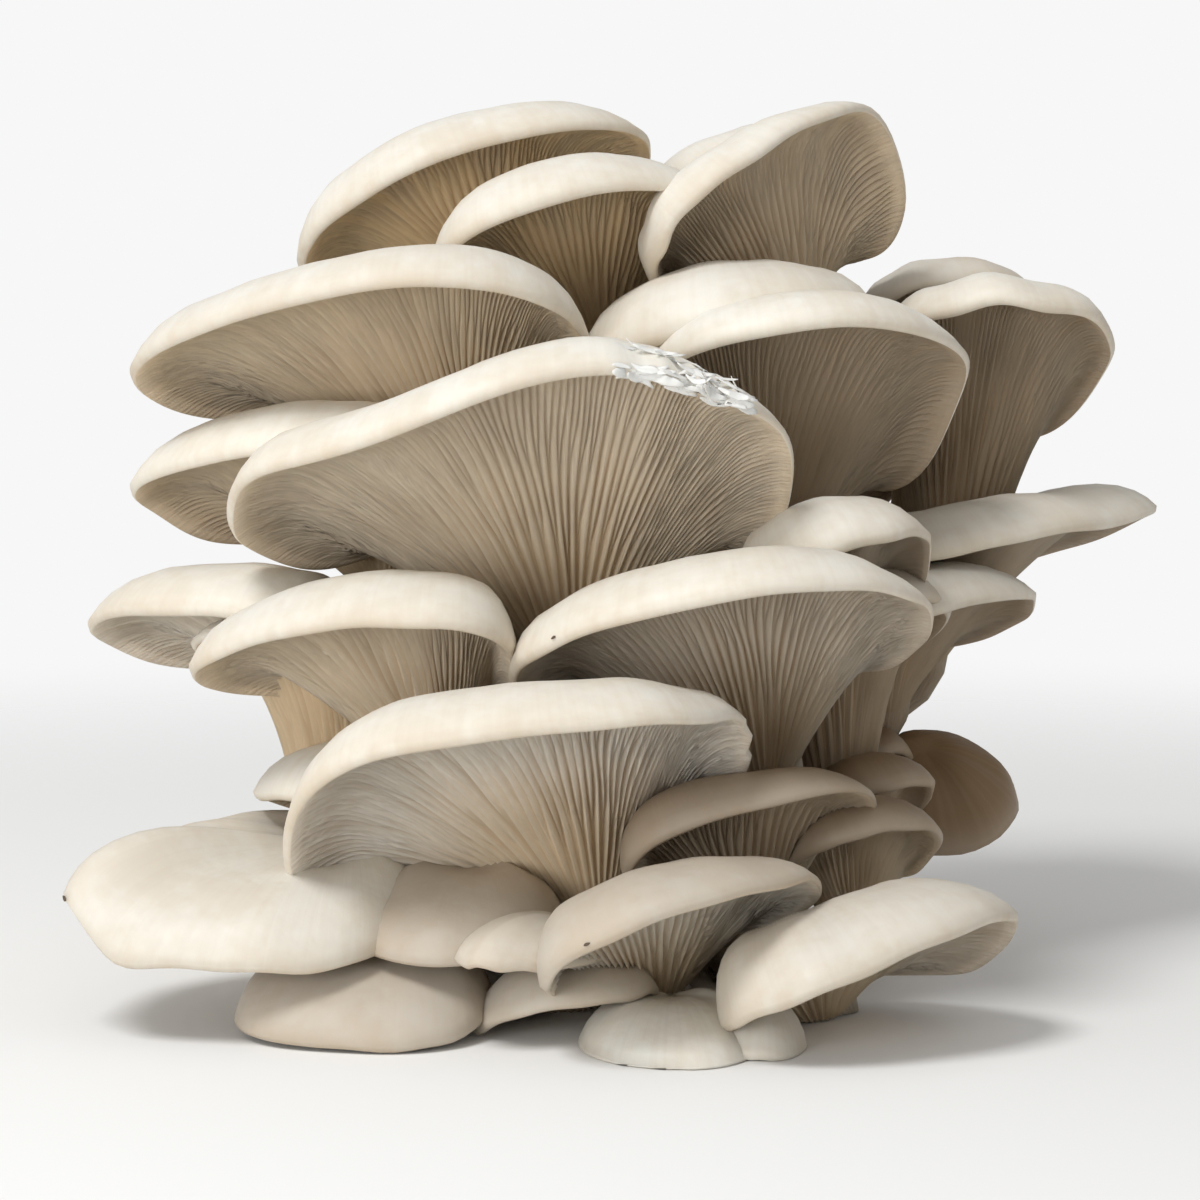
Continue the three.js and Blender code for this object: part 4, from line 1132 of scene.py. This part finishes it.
class MushroomSettings(bpy.types.PropertyGroup):
    """Sizes of the gills and of the lips' waves."""

    gill_spacing: length_setting("Gill spacing", "Distance between gills at the lip", 0.0012)
    gill_depth: length_setting("Gill depth", "Depth of the hollows between gills", 0.0014)
    gill_relief: length_setting("Gill relief", "How far the gills stand out of the underside", 0.0004)
    lip_wave: length_setting("Lip wave", "Height of the small waves of every lip", 0.0008)


class FleshSettings(bpy.types.PropertyGroup):
    """Colours of the mushrooms."""

    skin_pale: colour_setting("Fresh skin", "Skin of a fresh cap", (0.82, 0.80, 0.73))
    # tan of blotches and of the lip's edge, also painted shade on the lower part of the band
    skin_tan: colour_setting("Tan skin", "Skin near the lip", (0.55, 0.42, 0.26))
    # brown of older caps, also used as painted shade on caps that lie low
    skin_brown_and_shade: colour_setting("Old skin", "Skin of the oldest caps", (0.22, 0.14, 0.07))
    gill_pale: colour_setting("Gill edge", "Edge of a fresh gill near the lip", (0.80, 0.75, 0.66))
    # warm beige near the stem, also painted warm light bounced between the caps
    gill_warm: colour_setting("Warm gill edge", "Edge of a gill near the stem", (0.80, 0.60, 0.35))
    gill_cloud: colour_setting("Gill cloud", "Greyish clouds under the lip", (0.42, 0.36, 0.29))
    # brown patches of the butt, also painted shade on gills and stems away from the light
    gill_brown_and_shade: colour_setting("Old gill", "Gills and stems of the oldest mushrooms", (0.28, 0.21, 0.14))
    # fine streaks and blotches of the flesh, also painted shade in the furrows of the stems and the
    # butt
    streak_and_shade: colour_setting("Shade", "Fine furrows and streaks", (0.46, 0.35, 0.24))
    # painted shade in the hollows between gills, also the colour of the stem's fibres
    hollow_shade_and_fibre: colour_setting("Gill hollow", "Bottom of the hollows between gills", (0.46, 0.33, 0.20))
    stem: colour_setting("Stem", "Fresh stem flesh", (0.74, 0.67, 0.56))
    torn_flesh: colour_setting("Torn flesh", "White flesh where a lip is torn", (0.80, 0.79, 0.75))
    speck: colour_setting("Speck", "Tiny specks and bruises", (0.10, 0.07, 0.05))


class StageSettings(bpy.types.PropertyGroup):
    """Floor, light and camera."""

    floor: colour_setting("Floor", "Colour of the floor", (0.90, 0.90, 0.89))
    key: bpy.props.FloatProperty(
        name="Main light", description="Power of the main soft light", default=7.2, unit="POWER")
    low: bpy.props.FloatProperty(
        name="Low light", description="Power of the soft light from low in front", default=3.6,
        unit="POWER")
    fill: bpy.props.FloatProperty(
        name="Fill light", description="Strength of the even light all round", default=0.5)
    backdrop: bpy.props.FloatProperty(
        name="Backdrop", description="Brightness of the plain backdrop", default=0.93)
    distance: length_setting("Camera distance", "From the camera to the point it looks at", 0.65)
    aim: length_setting("Aim height", "Height of the point the camera looks at", 0.071)
    pitch: bpy.props.FloatProperty(
        name="Camera pitch", description="How far the camera looks down",
        default=math.radians(5), subtype="ANGLE")


SETTINGS = (
    ("cluster_mushrooms", MushroomSettings),
    ("cluster_flesh", FleshSettings),
    ("cluster_stage", StageSettings),
)


# Operators


class CLUSTER_OT_mushrooms(bpy.types.Operator):
    """Grow every mushroom of the cluster, with its gills, cap and stem"""

    bl_idname = "cluster.mushrooms"
    bl_label = "Mushrooms"

    def execute(self, context):
        settings = context.scene.cluster_mushrooms
        colours = context.scene.cluster_flesh
        materials = [
            cap_skin_material(colours), gill_material(colours), stem_material(colours)]
        for index, (node, numbers) in enumerate(MUSHROOMS.items()):
            shape = Mushroom(node, numbers, index)
            piece = add_piece(node + "_fine", *mushroom_mesh(shape, settings), materials)
            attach(piece, "root")
            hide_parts(node)
        return {"FINISHED"}


class CLUSTER_OT_butt(bpy.types.Operator):
    """Add the fused stem bases with their flat cut"""

    bl_idname = "cluster.butt"
    bl_label = "Butt"

    def execute(self, context):
        materials = [butt_material(context.scene.cluster_flesh)]
        piece = add_piece("butt_fine", *butt_mesh(), materials)
        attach(piece, "root")
        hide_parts("butt")
        return {"FINISHED"}


class CLUSTER_OT_stage(bpy.types.Operator):
    """Add the pale floor, the soft lights and the camera"""

    bl_idname = "cluster.stage"
    bl_label = "Stage"

    def execute(self, context):
        stage = context.scene.cluster_stage
        add_floor(stage)
        add_lights(context.scene, stage)
        add_camera(context.scene, stage)
        context.scene.view_settings.view_transform = "Standard"
        return {"FINISHED"}


def add_floor(stage):
    """A round floor just under the cut of the butt."""
    ring = [(FLOOR_RADIUS * math.cos(a), FLOOR_RADIUS * math.sin(a), 0.0)
            for a in np.linspace(0, 2 * math.pi, FLOOR_SIDES, endpoint=False)]
    mesh = bpy.data.meshes.new("floor")
    mesh.from_pydata(ring, [], [list(range(FLOOR_SIDES))])
    mesh.materials.append(floor_material(tuple(stage.floor)))
    floor = bpy.data.objects.new("floor", mesh)
    floor.location.z = -FLOOR_DROP
    bpy.context.scene.collection.objects.link(floor)


def soft_light(name, place, size, power):
    """A round area light that is aimed at the cluster."""
    light = bpy.data.lights.new(name, "AREA")
    light.shape = "DISK"
    light.size = size
    light.energy = power
    lamp = bpy.data.objects.new(name, light)
    lamp.location = place
    aim = Vector(LIGHTS_AIM_AT) - Vector(place)
    lamp.rotation_euler = aim.to_track_quat("-Z", "Y").to_euler()
    bpy.context.scene.collection.objects.link(lamp)


def add_lights(scene, stage):
    """Even light all round, which the camera sees as the backdrop, and two soft lights."""
    world = bpy.data.worlds.new("Even light")
    world.use_nodes = True
    background = world.node_tree.nodes["Background"]
    background.inputs["Color"].default_value = (1, 1, 1, 1)
    nodes = Nodes(world.node_tree)
    seen = nodes.add("ShaderNodeLightPath").outputs["Is Camera Ray"]
    nodes.put(background.inputs["Strength"],
              nodes.spread(seen, 0.0, 1.0, stage.fill, stage.backdrop, smooth=False))
    scene.world = world
    soft_light("main light", MAIN_LIGHT_AT, MAIN_LIGHT_SIZE, stage.key)
    soft_light("low light", LOW_LIGHT_AT, LOW_LIGHT_SIZE, stage.low)


def add_camera(scene, stage):
    """A long lens in front of the cluster, which looks down a little."""
    data = bpy.data.cameras.new("camera")
    data.sensor_width = SENSOR_WIDTH
    data.lens = LENS
    data.clip_start = NEAREST_SEEN
    camera = bpy.data.objects.new("camera", data)
    camera.location = (0, -stage.distance * math.cos(stage.pitch),
                       stage.aim + stage.distance * math.sin(stage.pitch))
    camera.rotation_euler = (math.pi / 2 - stage.pitch, 0, 0)
    scene.collection.objects.link(camera)
    scene.camera = camera


class CLUSTER_PT_panel(bpy.types.Panel):
    """Settings and buttons of the mushroom cluster"""

    bl_idname = "CLUSTER_PT_panel"
    bl_label = "Mushroom cluster"
    bl_space_type = "VIEW_3D"
    bl_region_type = "UI"
    bl_category = "Mushrooms"

    def draw(self, context):
        for attribute, group in SETTINGS:
            box = self.layout.box()
            for key in group.__annotations__:
                box.prop(getattr(context.scene, attribute), key)
        for operator in OPERATORS:
            self.layout.operator(operator.bl_idname)


OPERATORS = (CLUSTER_OT_mushrooms, CLUSTER_OT_butt, CLUSTER_OT_stage)


def register():
    for attribute, group in SETTINGS:
        bpy.utils.register_class(group)
        setattr(bpy.types.Scene, attribute, bpy.props.PointerProperty(type=group))
    for operator in OPERATORS:
        bpy.utils.register_class(operator)
    bpy.utils.register_class(CLUSTER_PT_panel)


def unregister():
    bpy.utils.unregister_class(CLUSTER_PT_panel)
    for operator in reversed(OPERATORS):
        bpy.utils.unregister_class(operator)
    for attribute, group in reversed(SETTINGS):
        delattr(bpy.types.Scene, attribute)
        bpy.utils.unregister_class(group)


def main():
    """Builds every piece and the stage."""
    register()
    bpy.ops.cluster.mushrooms()
    bpy.ops.cluster.butt()
    bpy.ops.cluster.stage()


if __name__ == "__main__":
    main()
